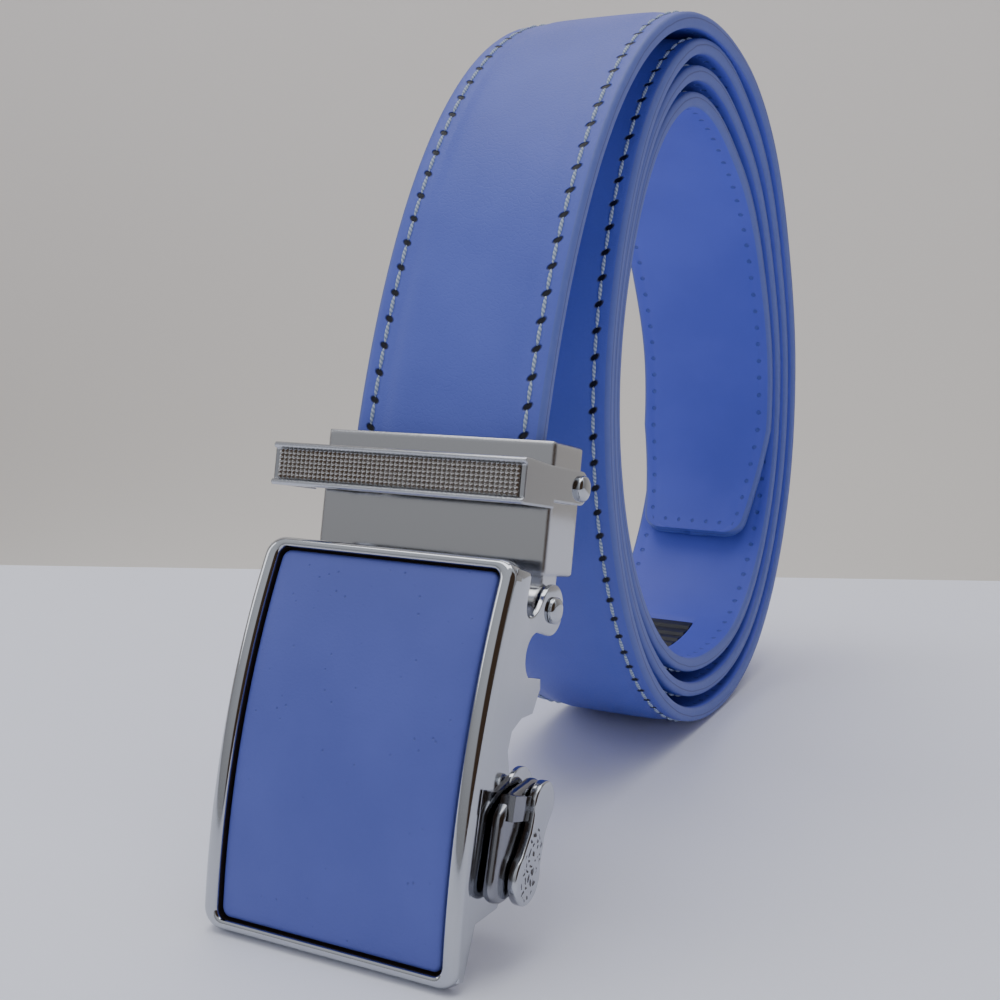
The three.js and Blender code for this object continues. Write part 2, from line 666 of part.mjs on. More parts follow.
function strapLine() {
  const pin = new THREE.Vector2(pinY, pinHeight);
  const end = leaned(strapFaceDepth, strapEndHeight, CLAMP_LEAN).add(pin);
  const mouth = mouthFromPin.clone().add(pin);
  const joint = coilPoint(RUN_JOIN_TURN).add(coilCentre);
  const jointHeading = coilPoint(RUN_JOIN_TURN + 1).sub(coilPoint(RUN_JOIN_TURN - 1)).normalize();
  const mouthHeading = leaned(0, 1, RUN_LEAN);
  const span = mouth.distanceTo(joint);
  const run = new THREE.CubicBezierCurve(
    mouth,
    mouth.clone().addScaledVector(mouthHeading, RUN_LOWER_REACH * span),
    joint.clone().addScaledVector(jointHeading, -RUN_UPPER_REACH * span),
    joint,
  );
  const places = [{ at: end, turn: 0 }];
  run.getPoints(RUN_STEPS).forEach((at, i) => {
    places.push({ at, turn: (RUN_JOIN_TURN * i) / RUN_STEPS });
  });
  for (let turn = RUN_JOIN_TURN + FINE_TURN; turn <= STRAP_END_TURN; turn += FINE_TURN) {
    places.push({ at: coilPoint(turn).add(coilCentre), turn });
  }
  let length = 0;
  places.forEach((place, i) => {
    if (i > 0) length += place.at.distanceTo(places[i - 1].at);
    place.length = length;
  });
  return places;
}

const line = strapLine();
const strapLength = line[line.length - 1].length;

// The place at a length along the outer face, with the face's outward direction.
function placeAt(length) {
  const next = Math.max(1, line.findIndex((place) => place.length >= Math.min(length, strapLength)));
  const [before, after] = [line[next - 1], line[next]];
  const share = THREE.MathUtils.clamp((length - before.length) / (after.length - before.length), 0, 1);
  const ahead = line[Math.min(next + 1, line.length - 1)];
  const behind = line[Math.max(next - 2, 0)];
  const fromHeading = after.at.clone().sub(behind.at).normalize();
  const toHeading = ahead.at.clone().sub(before.at).normalize();
  const heading = fromHeading.lerp(toHeading, share).normalize();
  return {
    at: before.at.clone().lerp(after.at, share),
    outward: new THREE.Vector2(-heading.y, heading.x),
    side: -TURN_SIDE_STEP * (THREE.MathUtils.lerp(before.turn, after.turn, share) / 360),
  };
}

// A cross-section ring at a length: each corner is [across, depth below the outer face].
function sectionRing(length, corners) {
  const { at, outward, side } = placeAt(length);
  return corners.map(([x, depth]) => new THREE.Vector3(
    side + x,
    at.x - outward.x * depth,
    at.y - outward.y * depth,
  ));
}

// Half the strap's width at a length: full, then tapering to the rounded tip.
function halfWidthAt(length) {
  const fromTip = Math.max(0, strapLength - length);
  const taper = Math.min(1, fromTip / TIP_TAPER_LENGTH);
  const half = THREE.MathUtils.lerp(TIP_END_WIDTH, STRAP_WIDTH, taper) / 2;
  if (fromTip >= TIP_CORNER) return half;
  return half - TIP_CORNER + Math.sqrt(TIP_CORNER ** 2 - (TIP_CORNER - fromTip) ** 2);
}

function strapCorners(length) {
  const half = halfWidthAt(length);
  const shoulder = half - STRAP_MARGIN;
  const crown = shoulder - STRAP_MARGIN / 2;
  const right = [
    { x: crown, outer: 0, inner: STRAP_THICKNESS },
    { x: shoulder, outer: STRAP_CROWN, inner: STRAP_THICKNESS },
    { x: half - STRAP_EDGE_ROUND, outer: STRAP_CROWN, inner: STRAP_THICKNESS },
    { x: half, outer: STRAP_CROWN + STRAP_EDGE_ROUND, inner: STRAP_THICKNESS - STRAP_EDGE_ROUND },
  ];
  const rows = [...right.map((row) => ({ ...row, x: -row.x })).reverse(), ...right];
  return [
    ...rows.map(({ x, outer }) => [x, outer]),
    ...rows.map(({ x, inner }) => [x, inner]).reverse(),
  ];
}

// Lengths that carry a cross-section: the stretch in the clamp, even steps, then the tapered tip.
function strapStations() {
  const mouth = clampTop - strapEndHeight;
  const taperStart = strapLength - TIP_TAPER_LENGTH;
  const steps = Math.round((taperStart - mouth) / STRAP_STEP);
  const lengths = [0];
  for (let i = 0; i <= steps; i += 1) lengths.push(THREE.MathUtils.lerp(mouth, taperStart, i / steps));
  const cornerStart = strapLength - TIP_CORNER;
  for (const share of [1 / 3, 2 / 3]) lengths.push(THREE.MathUtils.lerp(taperStart, cornerStart, share));
  for (const angle of [90, 60, 30, 0]) {
    lengths.push(strapLength - TIP_CORNER * (1 - Math.cos(toRadians(angle))));
  }
  return lengths;
}

// The ratchet track lies in a shallow bed in the strap's inner face.

const trackStart = strapLength - TRACK_FROM_TIP - TRACK_LENGTH;

function trackBed() {
  const half = TRACK_WIDTH / 2 + CLEARANCE;
  const floor = STRAP_THICKNESS - TRACK_THICKNESS - CLEARANCE;
  const below = STRAP_THICKNESS + 1;
  const corners = [[-half, floor], [half, floor], [half, below], [-half, below]];
  const steps = Math.round(TRACK_LENGTH / TRACK_TOOTH_PITCH);
  const rings = [];
  const from = trackStart - CLEARANCE;
  const to = trackStart + TRACK_LENGTH + CLEARANCE;
  for (let i = 0; i <= steps; i += 1) {
    rings.push(sectionRing(THREE.MathUtils.lerp(from, to, i / steps), corners));
  }
  return skinRings(rings);
}

function strap() {
  const sleeve = skinRings(strapStations().map((length) => sectionRing(length, strapCorners(length))));
  return cut(sleeve, trackBed());
}

// A flat bar with saw teeth on its inner face, steep toward the tip.
function ratchetTrack() {
  const half = TRACK_WIDTH / 2;
  const top = STRAP_THICKNESS - TRACK_THICKNESS;
  const ring = (length, bottom) => sectionRing(
    length,
    [[-half, top], [half, top], [half, bottom], [-half, bottom]],
  );
  const teeth = Math.round(TRACK_LENGTH / TRACK_TOOTH_PITCH);
  const rings = [];
  for (let tooth = 0; tooth < teeth; tooth += 1) {
    const start = trackStart + tooth * TRACK_TOOTH_PITCH;
    rings.push(ring(start, STRAP_THICKNESS - TRACK_TOOTH_DEPTH));
    rings.push(ring(start + 0.8 * TRACK_TOOTH_PITCH, STRAP_THICKNESS));
  }
  rings.push(ring(trackStart + TRACK_LENGTH, STRAP_THICKNESS - TRACK_TOOTH_DEPTH));
  return skinRings(rings);
}

// The belt stands with its origin at the bottom centre of its box.
const belt = new THREE.Group();
belt.name = "ratchet_belt";
belt.add(
  node("strap", strap(), LEATHER),
  node("ratchet_track", ratchetTrack(), TRACK_PLASTIC),
  buckle,
);
belt.updateMatrixWorld(true);
const bounds = new THREE.Box3().setFromObject(belt, true);
const middle = bounds.getCenter(new THREE.Vector3());
belt.position.set(-middle.x, -middle.y, -bounds.min.z);

export default belt;
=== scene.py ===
"""A ratchet belt standing coiled on a table: blue stitched leather, polished buckle, soft light."""
import math
from bisect import bisect_left
from functools import lru_cache

import bmesh
import bpy
from mathutils import Matrix, Vector


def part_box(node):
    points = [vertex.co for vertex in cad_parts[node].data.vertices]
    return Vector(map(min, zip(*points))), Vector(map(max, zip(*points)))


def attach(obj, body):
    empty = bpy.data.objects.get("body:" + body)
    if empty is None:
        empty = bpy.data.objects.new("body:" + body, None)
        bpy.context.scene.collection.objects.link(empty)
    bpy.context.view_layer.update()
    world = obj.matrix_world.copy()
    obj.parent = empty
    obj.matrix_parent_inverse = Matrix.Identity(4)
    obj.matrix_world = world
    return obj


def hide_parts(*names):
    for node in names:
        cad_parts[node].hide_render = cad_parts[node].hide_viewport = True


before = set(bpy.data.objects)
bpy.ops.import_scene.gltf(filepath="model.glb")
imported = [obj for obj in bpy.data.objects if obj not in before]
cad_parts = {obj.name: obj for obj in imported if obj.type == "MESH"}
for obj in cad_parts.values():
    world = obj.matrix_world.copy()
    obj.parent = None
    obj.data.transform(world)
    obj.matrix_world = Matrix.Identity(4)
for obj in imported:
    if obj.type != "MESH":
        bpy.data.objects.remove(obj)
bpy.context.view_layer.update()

# Sizes are in millimetres until a piece is finished, which turns them into metres.
MM = 0.001

STRAP_WIDTH = 31.0
STRAP_THICKNESS = 3.3
STRAP_CROWN = 0.5
STRAP_MARGIN = 4.6
EDGE_ROUND = 0.6
STITCH_INSET = 2.6
STITCH_PITCH = 4.33
STITCH_LENGTH = 3.5
THREAD_RADIUS = 0.32
TIP_ROW_INSET = 2.4
TIP_TAPER = 27.0
TIP_END_WIDTH = 23.5
TIP_CORNER = 3.6
LENGTH_STEP = 1.6
FIRST_STITCH = 3
SEAM_DEPTH = 1.9

TRACK_WIDTH = 11.6
TRACK_THICKNESS = 1.1
TRACK_LENGTH = 164.0
TRACK_FROM_TIP = 146.0
TRACK_ROOM = 0.35
TRACK_END_ROOM = 0.4
TRACK_SINK = 0.2

COIL_DEPTH = 120.4
COIL_HEIGHT = 136.9
COIL_TO_CLAMP = 87.6
TURN_SIDE_STEP = 0.85
END_TURN = 1305.0
JOIN_TURN = 100.0
SLIP_FROM, SLIP_TO = 70.0, 110.0
TURN_STEP = 1.5
RUN_LEAN = 17.0
RUN_LOWER_REACH, RUN_UPPER_REACH = 0.498, 0.406
RUN_STEPS = 120

BUCKLE_LEAN = 18.8
CLAMP_LEAN = 11.8
CLAMP_FACE = -0.2
CLAMP_TOP = 23.5
STRAP_END_HEIGHT = 6.9

FACE_WIDTH = 40.4
FACE_LENGTH = 55.3
FACE_TOP = 5.2
FACE_ARC = 122.0
FACE_FRONT = 16.5
FACE_THICKNESS = 2.4
FACE_CORNER = 2.8
CORNER_SEGMENTS = 8
RIM_WIDTH = 2.35
RIM_END_WIDTH = 1.45
PANEL_GAP = 0.35
PANEL_SINK = 0.55
PANEL_PILLOW = 0.35
PANEL_THICKNESS = 1.0
PANEL_CLEARANCE = 0.3
WALL_THICKNESS = 0.9
WALL_SETBACK = 0.95
WALL_OVERLAP = 0.08
EAR_RADIUS = 3.6
LUG_RADIUS = 4.4
LEVER_PIN_BELOW = 26.0
LEVER_PIN_AHEAD = 2.1

LEVER_LENGTH = 9.85
LEVER_PLATE = 1.4
LEVER_SLOT = 0.7
LEVER_HUB = 3.1
LEVER_PADDLE = 3.7
LEVER_NECK = 4.6
LEVER_TILT = 12.9
LEVER_BROAD_PLATE = 1.9
SIDE_GAP = 0.3
LEVER_INSIDE = FACE_WIDTH / 2 + SIDE_GAP
LEVER_OUTSIDE = LEVER_INSIDE + 2 * LEVER_PLATE + LEVER_SLOT

BAR_FRONT = -13.3
BAR_RAIL = 0.85
BAR_RAIL_DEPTH = 0.6
BAR_HALF_WIDTH = 20.2
BAR_CENTRE = 17.2
BAR_HEIGHT = 6.2
KNURL_COLUMNS, KNURL_ROWS = 52, 7
KNURL_HEIGHT = 0.38
KNURL_SINK = 0.28
KNURL_BASE = 0.26
KNURL_GAP = 0.1

PIN_HEAD_RADIUS = 1.9
PIT_PITCH = 1.6
PIT_RADIUS = 0.3
PIT_WANDER = 1.6
PITTED_HALF_DEPTH = 2.3
PITTED_STRETCH = 0.46
PITTED_LIFT = 1.8

CAMERA_FROM_PIN = (93.8, -160.84)
CAMERA_HEIGHT = 87.8
CAMERA_TURN = 27.0
CAMERA_DIP = 9.09
FOCAL_PIXELS = 1300.0
PICTURE_PIXELS = 1000.0
SENSOR = 36.0
TABLE_EDGE_PIXELS = ((0, 565), (1000, 581))
TABLE_EDGE_ROUND = ((2.0, -0.6), (3.4, -2.0), (4.0, -4.0), (4.0, -30.0))
STAGE_REACH = 3000.0
WALL_BEHIND = 420.0
WALL_FOOT = -700.0

ACROSS = Vector((1, 0, 0))
UPWARD = Vector((0, 0, 1))


def pin_centre(node):
    low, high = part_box(node)
    return (Vector(low) + Vector(high)) / 2 / MM


HINGE = pin_centre("hinge_pin")
BAR_PIN = pin_centre("bar_pin")


def leaned(depth, height, degrees):
    """Depth and height in the clamp's own frame, seen from the side with the clamp leant back."""
    lean = math.radians(degrees)
    return Vector((
        depth * math.cos(lean) + height * math.sin(lean),
        height * math.cos(lean) - depth * math.sin(lean),
    ))


# The coil: the strap's outer face in each direction from the front over the top.
COIL_ROWS = [
    {"turn": 0, "swell": 0.998, "pitch": 1.1},
    {"turn": 30, "swell": 0.992, "pitch": 1.12},
    {"turn": 60, "swell": 0.998, "pitch": 1.25},
    {"turn": 90, "swell": 0.972, "pitch": 1.5},
    {"turn": 120, "swell": 0.927, "pitch": 1.4},
    {"turn": 150, "swell": 0.91, "pitch": 1.2},
    {"turn": 180, "swell": 0.972, "pitch": 1.12},
    {"turn": 210, "swell": 1.04, "pitch": 1.25},
    {"turn": 240, "swell": 1.062, "pitch": 1.4},
    {"turn": 270, "swell": 1.01, "pitch": 1.5},
    {"turn": 300, "swell": 0.996, "pitch": 1.4},
    {"turn": 330, "swell": 0.992, "pitch": 1.2},
]


def coil_value(column, turn):
    """A column's value at any turn, on a smooth curve through the rows."""
    place = (turn % 360) / 360 * len(COIL_ROWS)
    row = int(place)
    a, b, c, d = (COIL_ROWS[(row + step) % len(COIL_ROWS)][column] for step in (-1, 0, 1, 2))
    t = place - row
    square = (2 * a - 5 * b + 4 * c - d) * t * t
    cube = (3 * b - a - 3 * c + d) * t ** 3
    return 0.5 * (2 * b + (c - a) * t + square + cube)


def smooth(value, low, high):
    share = min(1.0, max(0.0, (value - low) / (high - low)))
    return share * share * (3 - 2 * share)


def coil_point(turn):
    """The outer face's place at a turn, from the coil's centre. Later turns lie inside earlier ones."""
    whole = math.floor(turn / 360)
    turns_outside = max(0.0, whole - 1 + smooth(turn - whole * 360, SLIP_FROM, SLIP_TO))
    angle = math.radians(180 - turn)
    half_depth, half_height = COIL_DEPTH / 2, COIL_HEIGHT / 2
    slant = math.hypot(half_height * math.cos(angle), half_depth * math.sin(angle))
    ellipse = half_depth * half_height / slant
    inward = turns_outside * coil_value("pitch", turn) * STRAP_THICKNESS
    reach = ellipse * coil_value("swell", turn) - inward
    return Vector((reach * math.cos(angle), reach * math.sin(angle)))


def strap_line():
    """Dense places along the strap's outer face, from its end in the clamp to the tip, in (Y, Z)."""
    pin = Vector((HINGE.y, HINGE.z))
    mouth = pin + leaned(CLAMP_FACE, CLAMP_TOP, CLAMP_LEAN)
    end = pin + leaned(CLAMP_FACE, STRAP_END_HEIGHT, CLAMP_LEAN)
    foot = min(coil_point(turn).y for turn in range(int(JOIN_TURN), 360))
    centre = Vector((mouth.x + COIL_TO_CLAMP, -foot))
    joint = centre + coil_point(JOIN_TURN)
    joint_heading = (coil_point(JOIN_TURN + 1) - coil_point(JOIN_TURN - 1)).normalized()
    mouth_heading = leaned(0, 1, RUN_LEAN)
    span = (joint - mouth).length
    lower = mouth + mouth_heading * RUN_LOWER_REACH * span
    upper = joint - joint_heading * RUN_UPPER_REACH * span
    places = [(end, 0.0)]
    for i in range(RUN_STEPS + 1):
        t = i / RUN_STEPS
        near_mouth = (1 - t) ** 3 * mouth + 3 * (1 - t) ** 2 * t * lower
        at = near_mouth + 3 * (1 - t) * t * t * upper + t ** 3 * joint
        places.append((at, JOIN_TURN * t))
    turn = JOIN_TURN
    while turn < END_TURN:
        turn = min(END_TURN, turn + TURN_STEP)
        places.append((centre + coil_point(turn), turn))
    return places


LINE = strap_line()
LENGTHS = [0.0]
for (here, _), (there, _) in zip(LINE, LINE[1:]):
    LENGTHS.append(LENGTHS[-1] + (there - here).length)
STRAP_LENGTH = LENGTHS[-1]


@lru_cache(maxsize=None)
def place_at(length):
    """The outer face's place at a length, its outward direction and the middle of its width."""
    length = min(max(length, 0.0), STRAP_LENGTH)
    after = min(max(1, bisect_left(LENGTHS, length)), len(LINE) - 1)
    before = after - 1
    share = (length - LENGTHS[before]) / (LENGTHS[after] - LENGTHS[before])
    ahead, behind = min(after + 1, len(LINE) - 1), max(before - 1, 0)
    from_heading = (LINE[after][0] - LINE[behind][0]).normalized()
    to_heading = (LINE[ahead][0] - LINE[before][0]).normalized()
    heading = from_heading.lerp(to_heading, share).normalized()
    turn = LINE[before][1] + (LINE[after][1] - LINE[before][1]) * share
    at = LINE[before][0].lerp(LINE[after][0], share)
    return at, Vector((-heading.y, heading.x)), HINGE.x - TURN_SIDE_STEP * turn / 360


def on_strap(across, along, depth):
    """Where a place of the flat strap lies on the coiled one."""
    at, outward, side = place_at(along)
    return Vector((side + across, at.x - outward.x * depth, at.y - outward.y * depth))


def bend_onto_strap(bm):
    """Turns a flat layout (across, along, -depth) into the coiled strap. The flat place is kept, with
    the tapered tip drawn out to full width, so that a row at the edge stays at the edge."""
    flat = bm.verts.layers.float_vector.new("flat")
    for vert in bm.verts:
        across, along, height = vert.co
        drawn_out = STRAP_WIDTH / 2 / max(half_width_at(along), TIP_END_WIDTH / 2)
        vert[flat] = Vector((across * drawn_out, along, -height)) * MM
        vert.co = on_strap(across, along, -height)


# Materials

def add(material, kind, inputs, **settings):
    """Adds a shader node, links each input that is a socket and sets each that is a value."""
    made = material.node_tree.nodes.new("ShaderNode" + kind)
    for name, value in settings.items():
        setattr(made, name, value)
    for name, value in inputs.items():
        if isinstance(value, bpy.types.NodeSocket):
            material.node_tree.links.new(value, made.inputs[name])
        else:
            made.inputs[name].default_value = value
    return made


def calc(material, operation, *values):
    return add(material, "Math", dict(enumerate(values)), operation=operation).outputs[0]


def one_minus(material, value):
    return calc(material, "SUBTRACT", 1.0, value)


def ramp(material, value, low, high):
    """A smooth step from 0 at low to 1 at high."""
    inputs = {0: value, 1: low, 2: high}
    return add(material, "MapRange", inputs, interpolation_type="SMOOTHSTEP").outputs[0]


def spread(material, value, low, high, start=0.0, stop=1.0):
    """Carries a value that goes from start to stop evenly onto low to high."""
    return add(material, "MapRange", {0: value, 1: start, 2: stop, 3: low, 4: high}).outputs[0]


def mix_colours(material, share, first, second):
    made = material.node_tree.nodes.new("ShaderNodeMix")
    made.data_type = "RGBA"
    sockets = {"share": made.inputs[0], "first": made.inputs[6], "second": made.inputs[7]}
    for name, value in (("share", share), ("first", first), ("second", second)):
        if isinstance(value, bpy.types.NodeSocket):
            material.node_tree.links.new(value, sockets[name])
        else:
            sockets[name].default_value = value
    return made.outputs[2]


def noise(material, vector, scale, detail=3.0, roughness=0.5):
    return add(
        material, "TexNoise",
        {"Vector": vector, "Scale": scale, "Detail": detail, "Roughness": roughness},
    ).outputs[0]


def bump(material, height, distance, strength=1.0, normal=None):
    """Relief of a height whose full step is the distance, in millimetres."""
    inputs = {"Height": height, "Distance": distance * MM, "Strength": strength}
    if normal:
        inputs["Normal"] = normal
    return add(material, "Bump", inputs).outputs[0]


def new_finish(name, **constants):
    material = bpy.data.materials.new(name)
    material.use_nodes = True
    surface = material.node_tree.nodes["Principled BSDF"]
    for key, value in constants.items():
        surface.inputs[key.replace("_", " ")].default_value = value
    return material, surface


def drive(material, surface, **sockets):
    for key, socket in sockets.items():
        material.node_tree.links.new(socket, surface.inputs[key.replace("_", " ")])


def flat_place(material):
    """The place on the flat strap: across, along and depth, in metres."""
    attribute = add(material, "Attribute", {}, attribute_name="flat").outputs["Vector"]
    split = add(material, "SeparateXYZ", {"Vector": attribute}).outputs
    return attribute, split[0], split[1], split[2]


def object_place(material):
    return add(material, "TexCoord", {}).outputs["Object"]


def needle_holes(material, across, along, half_across, half_along, tilt):
    """1 inside the oblique holes that the thread passes through, in a row along each margin."""
    row = (STRAP_WIDTH / 2 - STITCH_INSET) * MM
    aside = calc(material, "SUBTRACT", calc(material, "ABSOLUTE", across), row)
    ahead = calc(material, "WRAP", along, STITCH_PITCH / 2 * MM, -STITCH_PITCH / 2 * MM)
    cosine, sine = math.cos(math.radians(tilt)), math.sin(math.radians(tilt))

    def turned(first, second, half):
        total = calc(
            material, "ADD",
            calc(material, "MULTIPLY", aside, first / (half * MM)),
            calc(material, "MULTIPLY", ahead, second / (half * MM)),
        )
        return calc(material, "POWER", calc(material, "ABSOLUTE", total), 2.0)

    radius = calc(
        material, "SQRT",
        calc(material, "ADD", turned(cosine, sine, half_across), turned(-sine, cosine, half_along)),
    )
    before_row = calc(material, "LESS_THAN", along, (STRAP_LENGTH - TIP_ROW_INSET) * MM)
    holes = one_minus(material, ramp(material, radius, 0.7, 1.25))
    holes = calc(material, "MULTIPLY", before_row, holes)
    return calc(material, "MAXIMUM", holes, tip_holes(material, across, along, row))


def tip_holes(material, across, along, row):
    """1 inside the holes of the row that crosses the strap just before its tip."""
    beyond = calc(material, "SUBTRACT", along, (STRAP_LENGTH - TIP_ROW_INSET) * MM)
    beside = calc(material, "WRAP", across, STITCH_PITCH / 2 * MM, -STITCH_PITCH / 2 * MM)
    squares = [calc(material, "POWER", value, 2.0) for value in (beyond, beside)]
    radius = calc(material, "SQRT", calc(material, "ADD", *squares))
    between = calc(material, "LESS_THAN", calc(material, "ABSOLUTE", across), row)
    holes = one_minus(material, ramp(material, radius, 0.35 * MM, 0.6 * MM))
    return calc(material, "MULTIPLY", between, holes)


def strap_leather():
    material, surface = new_finish("strap_leather", Specular_IOR_Level=0.3)
    place, across, along, _ = flat_place(material)
    holes = needle_holes(material, across, along, 0.85, 0.5, 35)
    cloud = ramp(material, noise(material, place, 45.0), 0.3, 0.7)
    grain = noise(material, place, 2600.0, 2.0)
    creases = add(
        material, "TexVoronoi", {"Vector": place, "Scale": 1100.0}, feature="DISTANCE_TO_EDGE",
    ).outputs[0]
    blue = mix_colours(material, cloud, (0.083, 0.114, 0.49, 1), (0.099, 0.133, 0.54, 1))
    pale = mix_colours(material, calc(material, "MULTIPLY", grain, 0.12), blue, (0.20, 0.28, 0.74, 1))
    # The needle holes are dented and painted near black: painted shade inside the holes.
    colour = mix_colours(material, holes, pale, (0.003, 0.004, 0.012, 1))
    skin = bump(material, grain, 0.06, 0.35)
    skin = bump(material, ramp(material, creases, 0.0, 0.12), 0.05, 0.25, skin)
    drive(
        material, surface, Base_Color=colour, Roughness=spread(material, grain, 0.38, 0.52, 0.3, 0.7),
        Normal=bump(material, one_minus(material, holes), 0.4, 0.9, skin),
    )
    return material


def painted_edge():
    material, surface = new_finish("painted_edge", Specular_IOR_Level=0.35)
    place, _, _, depth = flat_place(material)
    wander = calc(material, "MULTIPLY", noise(material, place, 160.0), 0.45 * MM)
    from_seam = calc(material, "SUBTRACT", calc(material, "ADD", depth, wander), SEAM_DEPTH * MM)
    from_seam = calc(material, "ABSOLUTE", from_seam)
    seam = one_minus(material, ramp(material, from_seam, 0.04 * MM, 0.18 * MM))
    mottle = noise(material, place, 700.0)
    paint = mix_colours(material, mottle, (0.098, 0.135, 0.42, 1), (0.128, 0.165, 0.47, 1))
    seam_share = calc(material, "MULTIPLY", seam, 0.55)
    drive(
        material, surface,
        Base_Color=mix_colours(material, seam_share, paint, (0.05, 0.06, 0.16, 1)),
        Roughness=spread(material, mottle, 0.45, 0.62),
        Normal=bump(material, calc(material, "SUBTRACT", mottle, seam), 0.12, 0.4),
    )
    return material


def strap_lining():
    material, surface = new_finish("strap_lining", Specular_IOR_Level=0.38)
    place, across, along, _ = flat_place(material)
    dimples = needle_holes(material, across, along, 0.5, 0.5, 0)
    grain = noise(material, place, 2200.0, 2.0)
    cloud = ramp(material, noise(material, place, 38.0), 0.3, 0.7)
    blue = mix_colours(material, cloud, (0.082, 0.11, 0.57, 1), (0.098, 0.128, 0.63, 1))
    # The stitch dimples are dented and painted darker blue: painted shade in the dimples.
    shade_share = calc(material, "MULTIPLY", dimples, 0.6)
    skin = bump(material, grain, 0.06, 0.35)
    drive(
        material, surface,
        Base_Color=mix_colours(material, shade_share, blue, (0.045, 0.075, 0.26, 1)),
        Roughness=spread(material, grain, 0.45, 0.6),
        Normal=bump(material, one_minus(material, dimples), 0.4, 0.6, skin),
    )
    return material


def sewing_thread():
    material, surface = new_finish("sewing_thread", Specular_IOR_Level=0.3)
    place, across, along, _ = flat_place(material)
    slant = calc(
        material, "ADD",
        calc(material, "MULTIPLY", along, 9000.0), calc(material, "MULTIPLY", across, 7000.0),
    )
    twist = spread(material, calc(material, "SINE", slant), 0.0, 1.0, -1.0, 1.0)
    fuzz = noise(material, place, 3000.0)
    drive(
        material, surface,
        Base_Color=mix_colours(material, twist, (0.20, 0.27, 0.42, 1), (0.50, 0.58, 0.68, 1)),
        Roughness=spread(material, fuzz, 0.55, 0.8), Normal=bump(material, twist, 0.1, 0.6),
    )
    return material


def panel_leather():
    material, surface = new_finish("panel_leather", Specular_IOR_Level=0.4)
    place = object_place(material)
    grain = noise(material, place, 2400.0, 2.0)
    cloud = ramp(material, noise(material, place, 60.0), 0.3, 0.7)
    pores = add(material, "TexVoronoi", {"Vector": place, "Scale": 620.0}, feature="F1").outputs[0]
    pore = one_minus(material, ramp(material, pores, 0.06, 0.16))
    sparse = ramp(material, noise(material, place, 180.0), 0.45, 0.6)
    pore = calc(material, "MULTIPLY", pore, sparse)
    blue = mix_colours(material, cloud, (0.083, 0.108, 0.42, 1), (0.094, 0.121, 0.46, 1))
    shade_share = calc(material, "MULTIPLY", pore, 0.3)
    skin = bump(material, grain, 0.07, 0.5)
    drive(
        material, surface,
        Base_Color=mix_colours(material, shade_share, blue, (0.03, 0.05, 0.18, 1)),
        Roughness=spread(material, grain, 0.4, 0.56),
        Normal=bump(material, one_minus(material, pore), 0.15, 0.6, skin),
    )
    return material


def polished_plate(name, tint, rough_low, rough_high, edge_round=0.0):
    """Bright plating with faint haze, and softly rounded edges where the piece's own are sharp."""
    material, surface = new_finish(name, Metallic=1.0, Base_Color=tint)
    place = object_place(material)
    haze = noise(material, place, 140.0, 4.0)
    scuff = noise(material, place, 1500.0, 3.0)
    share = calc(material, "MULTIPLY", calc(material, "ADD", haze, scuff), 0.5)
    normal = None
    if edge_round:
        normal = add(material, "Bevel", {"Radius": edge_round * MM}, samples=6).outputs[0]
    drive(
        material, surface, Roughness=spread(material, share, rough_low, rough_high, 0.3, 0.7),
        Normal=bump(material, haze, 0.02, 0.15, normal),
    )
    return material


def track_plastic():
    material, surface = new_finish("track_plastic", Specular_IOR_Level=0.4)
    place = object_place(material)
    speck = noise(material, place, 900.0)
    colour = mix_colours(material, speck, (0.008, 0.009, 0.014, 1), (0.02, 0.022, 0.03, 1))
    drive(
        material, surface, Base_Color=colour, Roughness=spread(material, speck, 0.4, 0.6),
        Normal=bump(material, speck, 0.04, 0.4),
    )
    return material


def pit_shadow():
    material, surface = new_finish("pit_shadow", Metallic=0.6)
    place = object_place(material)
    speck = noise(material, place, 2500.0)
    colour = mix_colours(material, speck, (0.02, 0.014, 0.012, 1), (0.05, 0.035, 0.03, 1))
    drive(material, surface, Base_Color=colour, Roughness=spread(material, speck, 0.35, 0.6))
    return material


LEATHER = strap_leather()
EDGE_PAINT = painted_edge()
LINING = strap_lining()
THREAD = sewing_thread()
PANEL = panel_leather()
CHROME = (0.475, 0.49, 0.52, 1)
PLATE = polished_plate("polished_plate", CHROME, 0.05, 0.12)
BAR_PLATE = polished_plate("bar_plate", CHROME, 0.05, 0.12, 0.45)
CLAMP_PLATE = polished_plate("clamp_plate", (0.51, 0.515, 0.53, 1), 0.06, 0.13, 0.9)
# A darker copy of the plating for the lever's inner plate and bridge: painted shade and painted
# reflection of the dark room, not a different metal.
LEVER_PAINTED_SHADE = polished_plate("lever_painted_shade_plate", (0.24, 0.245, 0.27, 1), 0.1, 0.2)
KNURL_PLATE = polished_plate("knurl_plate", (0.60, 0.595, 0.58, 1), 0.12, 0.22)
TRACK = track_plastic()
PIT = pit_shadow()


# Finishing a piece

def placed_by_pin(degrees, centre=HINGE):
    """A piece drawn as (across, depth behind the hinge pin, height) goes to its leant place."""
    return Matrix.Translation(centre) @ Matrix.Rotation(-math.radians(degrees), 4, "X")


FACE_PLACE = placed_by_pin(BUCKLE_LEAN)
CLAMP_PLACE = placed_by_pin(CLAMP_LEAN)
LYING_TO_STANDING = Matrix.Rotation(math.radians(90), 4, "X")


def finish_piece(name, bm, body, finishes, stands_for=(), sharp=40.0):
    """Makes the object in metres, smooth but for edges sharper than the angle, riding on its body."""
    bmesh.ops.recalc_face_normals(bm, faces=bm.faces)
    bmesh.ops.scale(bm, vec=(MM, MM, MM), verts=bm.verts)
    mesh = bpy.data.meshes.new(name)
    bm.to_mesh(mesh)
    bm.free()
    mesh.shade_smooth()
    mesh.set_sharp_from_angle(angle=math.radians(sharp))
    for finish in finishes:
        mesh.materials.append(finish)
    piece = bpy.data.objects.new(name, mesh)
    bpy.context.scene.collection.objects.link(piece)
    if stands_for:
        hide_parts(*stands_for)
    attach(piece, body)
    return piece


# The strap

